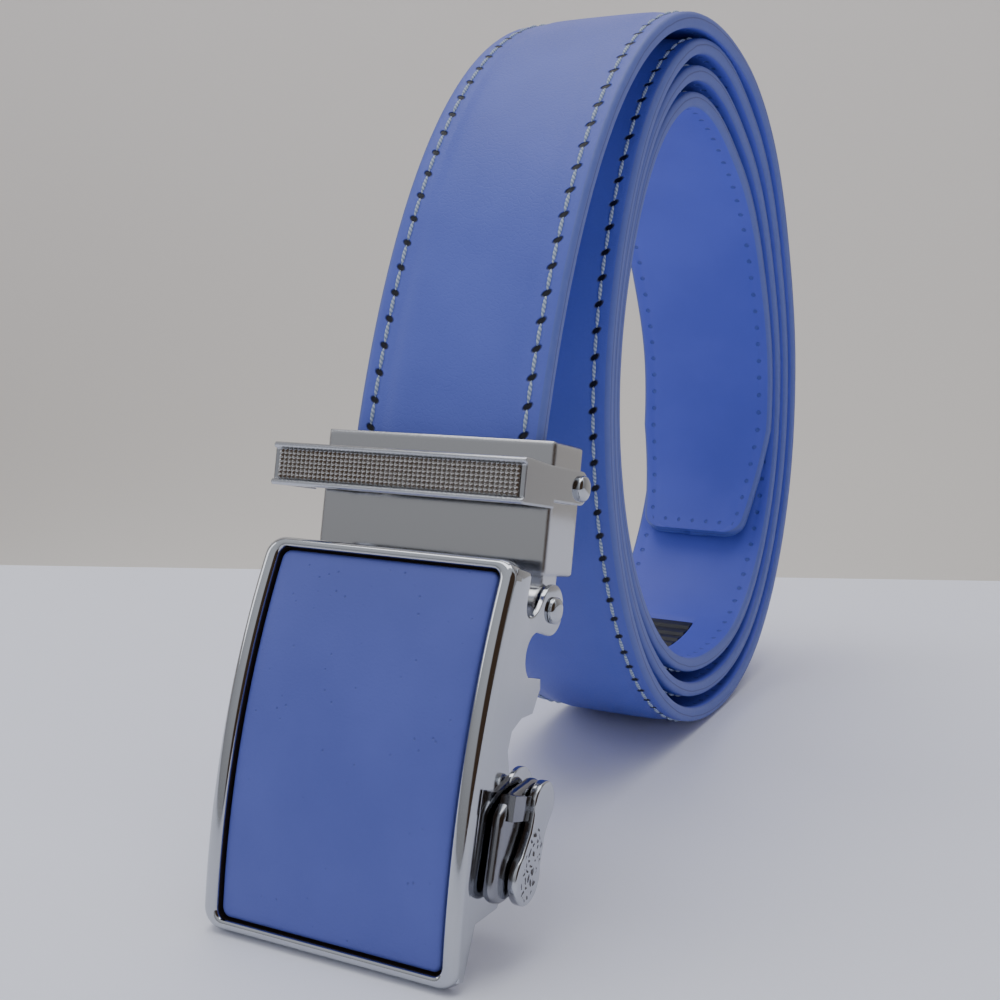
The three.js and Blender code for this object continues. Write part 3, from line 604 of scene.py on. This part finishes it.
def strap_profile(half):
    """Half the strap's section as (across, depth), from the middle of its outer face over the padded
    shoulder and the stitched margin, round the edge and back to the middle of its lining."""
    crown, thick, edge = STRAP_CROWN, STRAP_THICKNESS, EDGE_ROUND
    shoulder = half - STRAP_MARGIN
    row = half - STITCH_INSET
    bed = min(TRACK_WIDTH / 2 + 0.45, shoulder - 0.6)
    return [
        (0.0, 0.0), (shoulder * 0.4, 0.01),
        (shoulder - 3.6, 0.05), (shoulder - 2.2, 0.14 * crown + 0.03),
        (shoulder - 1.1, 0.5 * crown), (shoulder - 0.3, 0.92 * crown), (shoulder + 0.5, crown),
        (row - 0.55, crown), (row, crown + 0.1), (row + 0.55, crown), (half - 1.1, crown),
        (half - edge, crown + 0.03), (half - 0.3 * edge, crown + 0.22), (half, crown + edge),
        (half + 0.06, 0.55 * thick), (half, thick - edge),
        (half - 0.3 * edge, thick - 0.2), (half - edge, thick), (half - 1.4, thick),
        (row + 0.5, thick), (row, thick - 0.08), (row - 0.5, thick),
        (shoulder, thick), (bed, thick), (bed - 0.15, thick), (0.0, thick),
    ]


def half_width_at(length):
    """Half the strap's width, which narrows toward the tip and rounds off at its corners."""
    from_tip = max(0.0, STRAP_LENGTH - length)
    taper = min(1.0, from_tip / TIP_TAPER)
    half = (TIP_END_WIDTH + (STRAP_WIDTH - TIP_END_WIDTH) * taper) / 2
    if from_tip >= TIP_CORNER:
        return half
    return half - TIP_CORNER + math.sqrt(TIP_CORNER ** 2 - (TIP_CORNER - from_tip) ** 2)


def strap_rows():
    """The lengths at which the strap's section is set, closer together round the tip's corners."""
    rows = [i * LENGTH_STEP for i in range(int((STRAP_LENGTH - TIP_CORNER) / LENGTH_STEP))]
    for angle in range(90, -1, -10):
        rows.append(STRAP_LENGTH - TIP_CORNER * (1 - math.cos(math.radians(angle))))
    return rows


def sunk_for_track(across, length, depth):
    """The lining is sunk where the ratchet track lies in it."""
    from_track_end = STRAP_LENGTH - TRACK_FROM_TIP - length
    within_width = abs(across) <= TRACK_WIDTH / 2 + TRACK_ROOM
    within_length = -TRACK_END_ROOM <= from_track_end <= TRACK_LENGTH + TRACK_END_ROOM
    if depth < STRAP_THICKNESS - 0.01 or not within_width or not within_length:
        return depth
    return depth - TRACK_THICKNESS - TRACK_SINK


def finish_of_face(middle):
    """0 for the outer leather, 1 for the painted edge and 2 for the lining, by a flat face's middle."""
    half = half_width_at(middle.y)
    on_inner_side = -middle.z > STRAP_THICKNESS - TRACK_THICKNESS - 0.4
    if on_inner_side and abs(middle.x) < half - EDGE_ROUND - 0.05:
        return 2
    if abs(middle.x) > half - EDGE_ROUND:
        return 1
    return 0


def make_strap():
    """A sleeve of the strap's section, drawn flat, closed at both ends and bent round the coil."""
    rows = strap_rows()
    half_count = len(strap_profile(STRAP_WIDTH / 2))
    columns = 2 * (half_count - 1)
    bm = bmesh.new()
    bmesh.ops.create_grid(bm, x_segments=columns, y_segments=len(rows) - 1, size=1.0)
    ordered = sorted(bm.verts, key=lambda vert: (round(vert.co.y, 6), vert.co.x))
    for row, length in enumerate(rows):
        half = strap_profile(half_width_at(length))
        ring = half + [(-across, depth) for across, depth in reversed(half[:-1])]
        for column, (across, depth) in enumerate(ring):
            sunk = sunk_for_track(across, length, depth)
            ordered[row * (columns + 1) + column].co = (across, length, -sunk)
    for face in bm.faces:
        face.material_index = finish_of_face(face.calc_center_median())
    bmesh.ops.remove_doubles(bm, verts=bm.verts, dist=0.0005)
    ends = [edge for edge in bm.edges if edge.is_boundary]
    for face in bmesh.ops.holes_fill(bm, edges=ends, sides=0)["faces"]:
        face.material_index = 1
    bmesh.ops.triangulate(bm, faces=[face for face in bm.faces if len(face.verts) > 4])
    bend_onto_strap(bm)
    return finish_piece(
        "strap_leather", bm, "belt", [LEATHER, EDGE_PAINT, LINING], ["strap"], 50,
    )


def make_stitches():
    """Each stitch is a small spindle of thread that dips into its needle hole at both ends."""
    one = bmesh.new()
    shape = Matrix.Diagonal((THREAD_RADIUS, STITCH_LENGTH / 2, THREAD_RADIUS, 1)) @ LYING_TO_STANDING
    bmesh.ops.create_uvsphere(one, u_segments=8, v_segments=6, radius=1.0, matrix=shape)
    stitch = bpy.data.meshes.new("stitch")
    one.to_mesh(stitch)
    one.free()
    row_share = 1 - 2 * STITCH_INSET / STRAP_WIDTH
    count = int((STRAP_LENGTH - TIP_ROW_INSET) / STITCH_PITCH)
    bm = bmesh.new()
    for side in (-1, 1):
        for i in range(FIRST_STITCH, count):
            along = (i + 0.5) * STITCH_PITCH
            row = side * row_share * half_width_at(along)
            place = Matrix.Translation((row, along, -STRAP_CROWN - 0.02))
            stitch.transform(place)
            bm.from_mesh(stitch)
            stitch.transform(place.inverted())
    bpy.data.meshes.remove(stitch)
    bend_onto_strap(bm)
    return finish_piece("stitches", bm, "belt", [THREAD], sharp=80)


# Shapes drawn from the side, as (depth, height)

def arc(centre, radius, start, end, steps):
    """Places round part of a circle, with its angles in degrees from the depth axis."""
    angles = (math.radians(start + (end - start) * i / steps) for i in range(steps + 1))
    return [(centre[0] + radius * math.cos(a), centre[1] + radius * math.sin(a)) for a in angles]


def curve(start, control, end, steps):
    """Places on a curve that leaves start toward control and reaches end from it, without its start."""
    places = []
    for i in range(1, steps + 1):
        t = i / steps
        a, b, c = (1 - t) ** 2, 2 * t * (1 - t), t * t
        places.append(tuple(a * start[k] + b * control[k] + c * end[k] for k in (0, 1)))
    return places


def upright_plate(outline, from_x, to_x, edge_round, segments=3):
    """A plate cut to an outline seen from the side, with its edges rounded."""
    bm = bmesh.new()
    verts = [bm.verts.new((from_x, depth, height)) for depth, height in outline]
    face = bm.faces.new(verts)
    made = bmesh.ops.extrude_face_region(bm, geom=[face])["geom"]
    moved = [item for item in made if isinstance(item, bmesh.types.BMVert)]
    bmesh.ops.translate(bm, vec=(to_x - from_x, 0, 0), verts=moved)
    bmesh.ops.recalc_face_normals(bm, faces=bm.faces)
    rims = [edge for edge in bm.edges if abs(edge.verts[0].co.x - edge.verts[1].co.x) < 1e-6]
    bmesh.ops.bevel(
        bm, geom=rims, offset=edge_round, offset_type="OFFSET", affect="EDGES", segments=segments,
        profile=0.5, material=-1, clamp_overlap=True,
    )
    bmesh.ops.triangulate(bm, faces=[face for face in bm.faces if len(face.verts) > 4])
    return bm


def join_into(bm, other, finish=0):
    for face in other.faces:
        face.material_index = finish
    mesh = bpy.data.meshes.new("joined")
    other.to_mesh(mesh)
    other.free()
    bm.from_mesh(mesh)
    bpy.data.meshes.remove(mesh)


def headed_pin(half, centre):
    """A pin across the piece, spun from its half profile, with a domed head at each end."""
    profile = [
        (0.0, half + 0.72), (0.8, half + 0.7), (1.3, half + 0.63),
        (1.62, half + 0.5), (1.82, half + 0.3),
        (PIN_HEAD_RADIUS, half + 0.1), (PIN_HEAD_RADIUS, half - 0.3), (0.9, half - 0.3),
    ]
    profile += [(radius, -along) for radius, along in reversed(profile)]
    bm = bmesh.new()
    verts = [bm.verts.new((along, radius, 0)) for radius, along in profile]
    edges = [bm.edges.new(pair) for pair in zip(verts, verts[1:])]
    bmesh.ops.spin(
        bm, geom=verts + edges, cent=(0, 0, 0), axis=(1, 0, 0), angle=math.radians(360), steps=40,
        use_merge=True,
    )
    bmesh.ops.remove_doubles(bm, verts=bm.verts, dist=0.001)
    bmesh.ops.translate(bm, vec=centre, verts=bm.verts)
    return bm


# The buckle

def arch_depth(height):
    """How far behind the hinge pin the arched face lies at a height."""
    along = height - (FACE_TOP - FACE_LENGTH / 2)
    return FACE_ARC - math.sqrt(FACE_ARC ** 2 - along ** 2) - FACE_FRONT


def rounded_face(half_width, top, bottom, corner, depth):
    """One upright face with rounded corners, the start of the frame and of the panel."""
    bm = bmesh.new()
    corners = [(-half_width, bottom), (half_width, bottom), (half_width, top), (-half_width, top)]
    verts = [bm.verts.new((across, depth, height)) for across, height in corners]
    bm.faces.new(verts)
    bmesh.ops.bevel(
        bm, geom=verts, offset=corner, offset_type="OFFSET", affect="VERTICES",
        segments=CORNER_SEGMENTS, profile=0.5, material=-1,
    )
    return bm


def raise_face(bm, face, forward):
    """Extrudes the front face forward and gives the new front face."""
    region = [face, *face.edges, *face.verts]
    made = bmesh.ops.extrude_face_region(bm, geom=region)["geom"]
    front = next(item for item in made if isinstance(item, bmesh.types.BMFace))
    bmesh.ops.translate(bm, vec=(0, -forward, 0), verts=front.verts)
    return front


def draw_in(bm, face, inward, wider, forward):
    """Insets the front face, a little more at the sides than at the ends, and moves it forward."""
    bmesh.ops.inset_region(bm, faces=[face], thickness=inward, use_even_offset=True)
    half = max(abs(vert.co.x) for vert in face.verts)
    bmesh.ops.scale(bm, vec=((half - wider) / half, 1, 1), verts=face.verts)
    bmesh.ops.translate(bm, vec=(0, -forward, 0), verts=face.verts)


def cut_evenly(bm, normal, low, high, steps):
    """Cuts the piece by even planes, so that it can be bowed."""
    for i in range(1, steps):
        place = low + (high - low) * i / steps
        bmesh.ops.bisect_plane(
            bm, geom=list(bm.verts) + list(bm.edges) + list(bm.faces), plane_co=normal * place,
            plane_no=normal, dist=0.0001,
        )


def bow_to_arch(bm):
    for vert in bm.verts:
        vert.co.y += arch_depth(vert.co.z)
    bmesh.ops.triangulate(bm, faces=[face for face in bm.faces if len(face.verts) > 4])


# The rim's round from its outer side over its crown and down to the panel: share of its width
# drawn in, and depth behind the crown.
RIM_ROUND = [
    (0.0, 0.95), (0.02, 0.68), (0.08, 0.42), (0.18, 0.2), (0.31, 0.06), (0.45, 0.0),
    (0.62, 0.0), (0.78, 0.06), (0.91, 0.2), (0.98, 0.4), (1.0, 0.62),
]
# The panel's turned edge: millimetres drawn in, and depth behind its front.
PANEL_ROUND = [(0.0, 0.5), (0.06, 0.28), (0.2, 0.12), (0.42, 0.03), (0.7, 0.0)]


def wall_outline():
    """The side wall from the side: along the rim, round the ear, down to the lever's lug. Places on
    the wall are counted in ear radii from the hinge pin, and round the lug in lug radii."""
    ear, lug = EAR_RADIUS, LUG_RADIUS
    low, high = FACE_TOP - FACE_LENGTH + 1.2, FACE_TOP - 1.1
    lug_centre = (-LEVER_PIN_AHEAD, -LEVER_PIN_BELOW)

    def at(depth, height):
        return depth * ear, height * ear

    heights = [low + (high - low) * i / 24 for i in range(25)]
    outline = [(arch_depth(height) + WALL_SETBACK, height) for height in heights]
    outline += [(-2.5 * ear, high), at(-2.34, high / ear - 0.16), at(-2.37, 0.02)]
    outline += curve(at(-2.37, 0.02), at(-2.36, -0.5), at(-1.95, -0.5), 6)
    outline += curve(at(-1.95, -0.5), at(-1.4, -0.5), at(-0.94, 0.34), 8)
    outline += arc((0, 0), ear, 156, -100, 28)
    outline += arc((-0.9 * ear, -1.88 * ear), 0.93 * ear, 78, 240, 16)
    outline += [at(-0.24, -2.66), at(-0.1, -3.06), at(-0.5, -4.03), at(-1.4, -4.24)]
    outline += [at(-2.1, -4.75), at(-2.2, -5.46)]
    outline += arc(lug_centre, lug, 150, -40, 22)
    outline += [
        (lug_centre[0] - 0.5 * lug, lug_centre[1] - 3.26 * lug),
        (lug_centre[0] - 1.85 * lug, lug_centre[1] - 3.6 * lug),
        (arch_depth(low) + WALL_SETBACK + 0.3 * lug, low),
    ]
    return outline


def make_buckle_frame():
    """The rounded rim round a dark bed for the panel, bowed to the arch, and its two side walls."""
    half, top, bottom = FACE_WIDTH / 2, FACE_TOP, FACE_TOP - FACE_LENGTH
    bm = rounded_face(half, top, bottom, FACE_CORNER, FACE_THICKNESS)
    front = raise_face(bm, bm.faces[:][0], FACE_THICKNESS - RIM_ROUND[0][1])
    for (before, behind), (after, depth) in zip(RIM_ROUND, RIM_ROUND[1:]):
        share = after - before
        draw_in(bm, front, share * RIM_END_WIDTH, share * (RIM_WIDTH - RIM_END_WIDTH), behind - depth)
    raise_face(bm, front, RIM_ROUND[-1][1] - (PANEL_SINK + PANEL_THICKNESS + PANEL_CLEARANCE))
    for face in bm.faces:
        middle = face.calc_center_median()
        inside_rim = abs(middle.x) < half - RIM_WIDTH + 0.05 and bottom + 1.3 < middle.z < top - 1.3
        face.material_index = 1 if inside_rim and 0.55 < middle.y < 2 else 0
    cut_evenly(bm, UPWARD, bottom, top, 30)
    bow_to_arch(bm)
    inside = half - WALL_THICKNESS
    for side in (-1, 1):
        wall = upright_plate(wall_outline(), side * inside, side * (half - WALL_OVERLAP), 0.16)
        join_into(bm, wall)
    bm.transform(FACE_PLACE)
    return finish_piece(
        "buckle_frame_plated", bm, "buckle", [PLATE, PIT], ["buckle_frame"], 32,
    )


def make_face_panel():
    """The leather panel, cushioned toward its middle, with its edge turned down inside the rim."""
    gap = RIM_END_WIDTH + PANEL_GAP
    half = FACE_WIDTH / 2 - RIM_WIDTH - PANEL_GAP
    top, bottom = FACE_TOP - gap, FACE_TOP - FACE_LENGTH + gap
    bm = rounded_face(half, top, bottom, FACE_CORNER - RIM_END_WIDTH, PANEL_SINK + PANEL_THICKNESS)
    rise = PANEL_ROUND[0][1] + PANEL_PILLOW
    front = raise_face(bm, bm.faces[:][0], PANEL_THICKNESS - rise)
    for (before, behind), (after, depth) in zip(PANEL_ROUND, PANEL_ROUND[1:]):
        draw_in(bm, front, after - before, 0, behind - depth)
    cut_evenly(bm, UPWARD, bottom, top, 24)
    cut_evenly(bm, ACROSS, -half, half, 16)
    middle = (top + bottom) / 2
    for vert in bm.verts:
        if vert.co.y < PANEL_SINK + PANEL_PILLOW + 0.01:
            across_share = 1 - abs(vert.co.x / half) ** 4
            height_share = 1 - abs((vert.co.z - middle) / (top - middle)) ** 4
            vert.co.y -= PANEL_PILLOW * across_share * height_share
    bow_to_arch(bm)
    bm.transform(FACE_PLACE)
    return finish_piece("face_panel_leather", bm, "buckle", [PANEL], ["face_panel"], 60)


def teardrop_outline():
    """The outer plate: round at the pin, waisted and round again at its paddle."""
    hub, neck, height = LEVER_HUB, LEVER_NECK / 2, -0.45 * LEVER_LENGTH
    outline = arc((0, 0), hub, -30, 210, 24)
    outline += curve(outline[-1], (-neck, height * 0.7), (-neck, height), 6)
    outline += arc((0, -LEVER_LENGTH), LEVER_PADDLE, 145, 395, 30)
    outline += curve((neck, height), (neck, height * 0.7), outline[0], 6)[:-1]
    return outline


def broad_outline():
    """The inner plate. Its stops are counted in lever lengths from the pin."""
    size = LEVER_LENGTH
    outline = arc((0, 0), LEVER_HUB, -30, 120, 16)
    stops = [
        ((-0.8, 0.1), (-0.94, -0.2)), ((-0.935, -0.66), (-0.93, -1.12)), ((-0.9, -1.32), (-0.6, -1.33)),
        ((-0.25, -1.3), (-0.2, -1.05)), ((-0.1, -0.6), (0.0, -0.5)),
    ]
    for control, end in stops:
        outline += curve(
            outline[-1], (control[0] * size, control[1] * size), (end[0] * size, end[1] * size), 7,
        )
    return outline


def dotted_plate():
    """Plating with small pits over the lever's paddle; the pits are dented and painted near black as the
    shade inside them.
    """
    swing = Matrix.Rotation(-math.radians(LEVER_TILT), 3, "X")
    pin = Vector((LEVER_OUTSIDE, -LEVER_PIN_AHEAD, -LEVER_PIN_BELOW))
    paddle = pin + swing @ Vector((0, 0, -LEVER_LENGTH))
    material = polished_plate("dotted_plate", CHROME, 0.1, 0.2)
    surface = material.node_tree.nodes["Principled BSDF"]
    centred = add(
        material, "Mapping",
        {
            "Vector": object_place(material), "Location": FACE_PLACE @ paddle * MM,
            "Rotation": (-math.radians(BUCKLE_LEAN + LEVER_TILT), 0, 0),
        },
        vector_type="TEXTURE",
    ).outputs[0]
    waver = add(material, "TexNoise", {"Vector": centred, "Scale": 900.0, "Detail": 0.0})
    wander = add(
        material, "VectorMath", {0: waver.outputs["Color"], 1: (0.5, 0.5, 0.5)}, operation="SUBTRACT",
    ).outputs["Vector"]
    moved = add(
        material, "VectorMath",
        {0: wander, 1: (0.0, PIT_WANDER * MM, PIT_WANDER * MM), 2: centred},
        operation="MULTIPLY_ADD",
    ).outputs["Vector"]
    outward, depth, height = add(material, "SeparateXYZ", {"Vector": moved}).outputs

    def distance(first, second):
        squares = [calc(material, "MULTIPLY", value, value) for value in (first, second)]
        return calc(material, "SQRT", calc(material, "ADD", *squares))

    def pits(shift):
        """1 inside the pits of a square grid, moved by a share of its half pitch."""
        half = PIT_PITCH / 2 * MM
        places = [
            calc(material, "WRAP", calc(material, "ADD", value, shift * half), half, -half)
            for value in (depth, height)
        ]
        radius = PIT_RADIUS * MM
        return one_minus(material, ramp(material, distance(*places), 0.6 * radius, 1.2 * radius))

    lifted = calc(material, "SUBTRACT", height, PITTED_LIFT * MM)
    stretched = calc(material, "MULTIPLY", lifted, PITTED_STRETCH)
    inside = calc(material, "LESS_THAN", distance(depth, stretched), PITTED_HALF_DEPTH * MM)
    on_face = calc(material, "GREATER_THAN", outward, -0.25 * MM)
    dots = calc(material, "MAXIMUM", pits(0.0), pits(1.0))
    dots = calc(material, "MULTIPLY", dots, calc(material, "MULTIPLY", inside, on_face))
    haze = calc(material, "MULTIPLY", noise(material, centred, 140.0), 0.05)
    relief = calc(material, "ADD", haze, one_minus(material, dots))
    drive(
        material, surface,
        # The pits' near-black colour is painted shade inside the dents; the relief below is real.
        Base_Color=mix_colours(material, dots, CHROME, (0.03, 0.02, 0.015, 1)),
        Normal=bump(material, relief, 0.25, 0.8),
    )
    return material


def make_release_lever():
    """A broad plate next to the frame's wall and a teardrop plate outside it, bridged near the pin. The
    broad plate and the bridge take a darker copy of the plating, which is painted shade and painted
    reflection.
    """
    inside, outside = LEVER_INSIDE, LEVER_OUTSIDE
    size = LEVER_LENGTH
    bm = upright_plate(teardrop_outline(), outside - LEVER_PLATE, outside, 0.32, 4)
    bmesh.ops.rotate(
        bm, cent=(0, 0, 0), matrix=Matrix.Rotation(-math.radians(LEVER_TILT), 3, "X"), verts=bm.verts,
    )
    # The broad plate and the bridge below take finish 1, the darker plating that is painted shade and
    # painted reflection.
    join_into(bm, upright_plate(broad_outline(), inside, inside + LEVER_BROAD_PLATE, 0.85, 6), 1)
    bridge = [(-0.8, -0.24), (-0.16, -0.24), (-0.16, 0.1), (-0.8, 0.1)]
    bridge = [(depth * size, height * size) for depth, height in bridge]
    join_into(
        bm, upright_plate(bridge, inside + 0.3 * LEVER_PLATE, outside - 0.6 * LEVER_PLATE, 0.15, 2), 1,
    )
    bmesh.ops.translate(bm, vec=(0, -LEVER_PIN_AHEAD, -LEVER_PIN_BELOW), verts=bm.verts)
    bm.transform(FACE_PLACE)
    return finish_piece(
        "release_lever_plated", bm, "lever", [dotted_plate(), LEVER_PAINTED_SHADE], ["release_lever"], 32,
    )


def make_knurled_strip():
    """A strip of small four-sided points between the bar's rails."""
    half = BAR_HALF_WIDTH - BAR_RAIL
    low = BAR_CENTRE - BAR_HEIGHT / 2 + BAR_RAIL + KNURL_GAP
    high = BAR_CENTRE + BAR_HEIGHT / 2 - BAR_RAIL - KNURL_GAP
    bm = bmesh.new()
    stand = Matrix.Translation((0, BAR_FRONT + BAR_RAIL_DEPTH - KNURL_SINK, (low + high) / 2))
    stand = stand @ LYING_TO_STANDING @ Matrix.Diagonal((half, (high - low) / 2, 1, 1))
    bmesh.ops.create_grid(bm, x_segments=KNURL_COLUMNS, y_segments=KNURL_ROWS, size=1.0, matrix=stand)
    cells = list(bm.faces)
    edge_loop = [edge for edge in bm.edges if edge.is_boundary]
    made = bmesh.ops.extrude_edge_only(bm, edges=edge_loop)["geom"]
    back = [item for item in made if isinstance(item, bmesh.types.BMVert)]
    bmesh.ops.translate(bm, vec=(0, KNURL_BASE, 0), verts=back)
    bmesh.ops.holes_fill(bm, edges=[edge for edge in bm.edges if edge.is_boundary], sides=0)
    bmesh.ops.triangulate(bm, faces=[face for face in bm.faces if len(face.verts) > 4])
    bmesh.ops.recalc_face_normals(bm, faces=bm.faces)
    bmesh.ops.poke(bm, faces=cells, offset=KNURL_HEIGHT, use_relative_offset=False)
    bm.transform(CLAMP_PLACE)
    return finish_piece(
        "knurled_strip_plated", bm, "bar", [KNURL_PLATE], ["knurled_strip"], 5,
    )


def make_pins():
    hinge = headed_pin(FACE_WIDTH / 2 + SIDE_GAP, HINGE)
    finish_piece("hinge_pin_plated", hinge, "buckle", [PLATE], ["hinge_pin"], 60)
    bar = headed_pin(BAR_HALF_WIDTH + SIDE_GAP, BAR_PIN)
    finish_piece("bar_pin_plated", bar, "bar", [PLATE], ["bar_pin"], 60)


def dress(node, finish):
    """Gives a carried-over solid its own finish."""
    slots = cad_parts[node].material_slots
    if not slots:
        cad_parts[node].data.materials.append(finish)
    for slot in slots:
        slot.material = finish


# Table, wall, lights and camera

def toward_picture(pixel_x, pixel_y):
    """The direction in which a place in the picture lies, from the camera."""
    across = (pixel_x - PICTURE_PIXELS / 2) / FOCAL_PIXELS
    up = (PICTURE_PIXELS / 2 - pixel_y) / FOCAL_PIXELS
    return camera_turning() @ Vector((across, up, -1.0))


def camera_turning():
    turn = Matrix.Rotation(math.radians(CAMERA_TURN), 3, "Z")
    return turn @ Matrix.Rotation(math.radians(90 - CAMERA_DIP), 3, "X")


def camera_place():
    """The camera's place in millimetres."""
    return Vector((HINGE.x + CAMERA_FROM_PIN[0], HINGE.y + CAMERA_FROM_PIN[1], CAMERA_HEIGHT))


def make_camera():
    camera = bpy.data.cameras.new("camera")
    camera.sensor_width = SENSOR
    camera.lens = FOCAL_PIXELS / PICTURE_PIXELS * SENSOR
    camera.clip_start = 0.01
    holder = bpy.data.objects.new("camera", camera)
    holder.matrix_world = Matrix.Translation(camera_place() * MM) @ camera_turning().to_4x4()
    bpy.context.scene.collection.objects.link(holder)
    bpy.context.scene.camera = holder


def table_edge():
    """Where the table ends behind the belt, from two places of its edge in the picture."""
    ends = []
    for pixel in TABLE_EDGE_PIXELS:
        ray = toward_picture(*pixel)
        ends.append(camera_place() - ray * (CAMERA_HEIGHT / ray.z))
    return ends


def stage_finish(name, first, second, roughness):
    material, surface = new_finish(name, Specular_IOR_Level=0.3)
    place = object_place(material)
    cloud = calc(material, "MULTIPLY", noise(material, place, 3.0), 0.8)
    speck = noise(material, place, 700.0)
    share = calc(material, "ADD", cloud, calc(material, "MULTIPLY", speck, 0.2))
    drive(
        material, surface, Base_Color=mix_colours(material, share, first, second),
        Roughness=spread(material, speck, roughness - 0.08, roughness + 0.08),
        Normal=bump(material, speck, 0.05, 0.2),
    )
    return material


def lay_out(bm, middle, along, onward):
    """One long sheet that starts on the line through middle and reaches onward."""
    corners = [middle - along * STAGE_REACH, middle + along * STAGE_REACH]
    corners += [corner + onward * STAGE_REACH for corner in reversed(corners)]
    bm.faces.new([bm.verts.new(corner) for corner in corners])


def finish_stage(name, bm, finish):
    bmesh.ops.recalc_face_normals(bm, faces=bm.faces)
    bmesh.ops.scale(bm, vec=(MM, MM, MM), verts=bm.verts)
    mesh = bpy.data.meshes.new(name)
    bm.to_mesh(mesh)
    bm.free()
    mesh.materials.append(finish)
    piece = bpy.data.objects.new(name, mesh)
    bpy.context.scene.collection.objects.link(piece)


def make_stage():
    """A pale table that ends behind the belt and, further back and lower, a plain wall."""
    left, right = table_edge()
    along = (right - left).normalized()
    away = Vector((-along.y, along.x, 0))
    middle = (left + right) / 2
    table = bmesh.new()
    lay_out(table, middle, along, -away)

    def from_middle(edge):
        return (sum((vert.co for vert in edge.verts), Vector()) / 2 - middle).length

    edge = min(table.edges, key=from_middle)
    for behind, height in TABLE_EDGE_ROUND:
        made = bmesh.ops.extrude_edge_only(table, edges=[edge])["geom"]
        edge = next(item for item in made if isinstance(item, bmesh.types.BMEdge))
        target = middle + away * behind
        now = (edge.verts[0].co + edge.verts[1].co) / 2
        step = (target.x - now.x, target.y - now.y, height - now.z)
        bmesh.ops.translate(table, vec=step, verts=edge.verts)
    finish_stage("table", table, TABLE_TOP)
    wall = bmesh.new()
    lay_out(wall, middle + away * WALL_BEHIND + UPWARD * WALL_FOOT, along, UPWARD)
    finish_stage("wall", wall, WALL_PAINT)


def soft_light(name, place, target, size, power, colour, mirrored=True):
    """A soft rectangle of light, with its places and sizes in metres."""
    lamp = bpy.data.lights.new(name, "AREA")
    lamp.shape = "RECTANGLE"
    lamp.size, lamp.size_y = size
    lamp.energy = power
    lamp.color = colour
    holder = bpy.data.objects.new(name, lamp)
    aim = (Vector(target) - Vector(place)).to_track_quat("-Z", "Y")
    holder.matrix_world = Matrix.Translation(place) @ aim.to_matrix().to_4x4()
    holder.visible_glossy = mirrored
    bpy.context.scene.collection.objects.link(holder)


def make_room():
    """Light from all round, brighter above, with a dark stretch at the right that the chrome mirrors."""
    world = bpy.data.worlds.new("room")
    bpy.context.scene.world = world
    world.use_nodes = True
    place = add(world, "TexCoord", {}).outputs["Generated"]
    height = add(world, "SeparateXYZ", {"Vector": place}).outputs[2]
    rise = ramp(world, height, -0.1, 0.8)
    tint = mix_colours(world, rise, (0.34, 0.34, 0.35, 1), (0.68, 0.70, 0.74, 1))
    toward = add(
        world, "VectorMath", {0: place, 1: DARK_STRETCH.normalized()}, operation="DOT_PRODUCT",
    ).outputs["Value"]
    tint = mix_colours(world, ramp(world, toward, 0.70, 0.84), tint, (0.075, 0.048, 0.032, 1))
    backdrop = world.node_tree.nodes["Background"]
    world.node_tree.links.new(tint, backdrop.inputs["Color"])
    backdrop.inputs["Strength"].default_value = 1.0


DARK_STRETCH = Vector((0.89, -0.45, 0.45))
TABLE_TOP = stage_finish("table_top", (0.81, 0.832, 0.955, 1), (0.87, 0.892, 0.99, 1), 0.5)
WALL_PAINT = stage_finish("wall_paint", (0.77, 0.73, 0.69, 1), (0.83, 0.79, 0.75, 1), 0.8)

make_camera()
make_room()
make_stage()
PALE_LIGHT = (0.97, 0.98, 1.0)
soft_light("ceiling_light", (-0.12, 0.08, 1.15), (0, 0, 0.05), (1.1, 0.9), 8.4, (1.0, 1.0, 1.0))
soft_light("left_light", (-0.9, -0.35, 0.5), (0, 0, 0.07), (0.35, 0.5), 1.0, PALE_LIGHT)
soft_light("right_fill", (0.8, -0.55, 0.22), (0, 0, 0.05), (0.5, 0.4), 1.8, PALE_LIGHT, mirrored=False)
soft_light(
    "wall_light", (-0.1, 0.32, -0.28), (-0.1, 0.75, 0.0), (1.4, 0.2), 1.35, (0.97, 0.99, 1.0),
    mirrored=False,
)

make_strap()
make_stitches()
make_buckle_frame()
make_face_panel()
make_release_lever()
make_knurled_strip()
make_pins()
dress("clamp_body", CLAMP_PLATE)
dress("clamp_bar", BAR_PLATE)
dress("ratchet_pawl", BAR_PLATE)
dress("ratchet_track", TRACK)
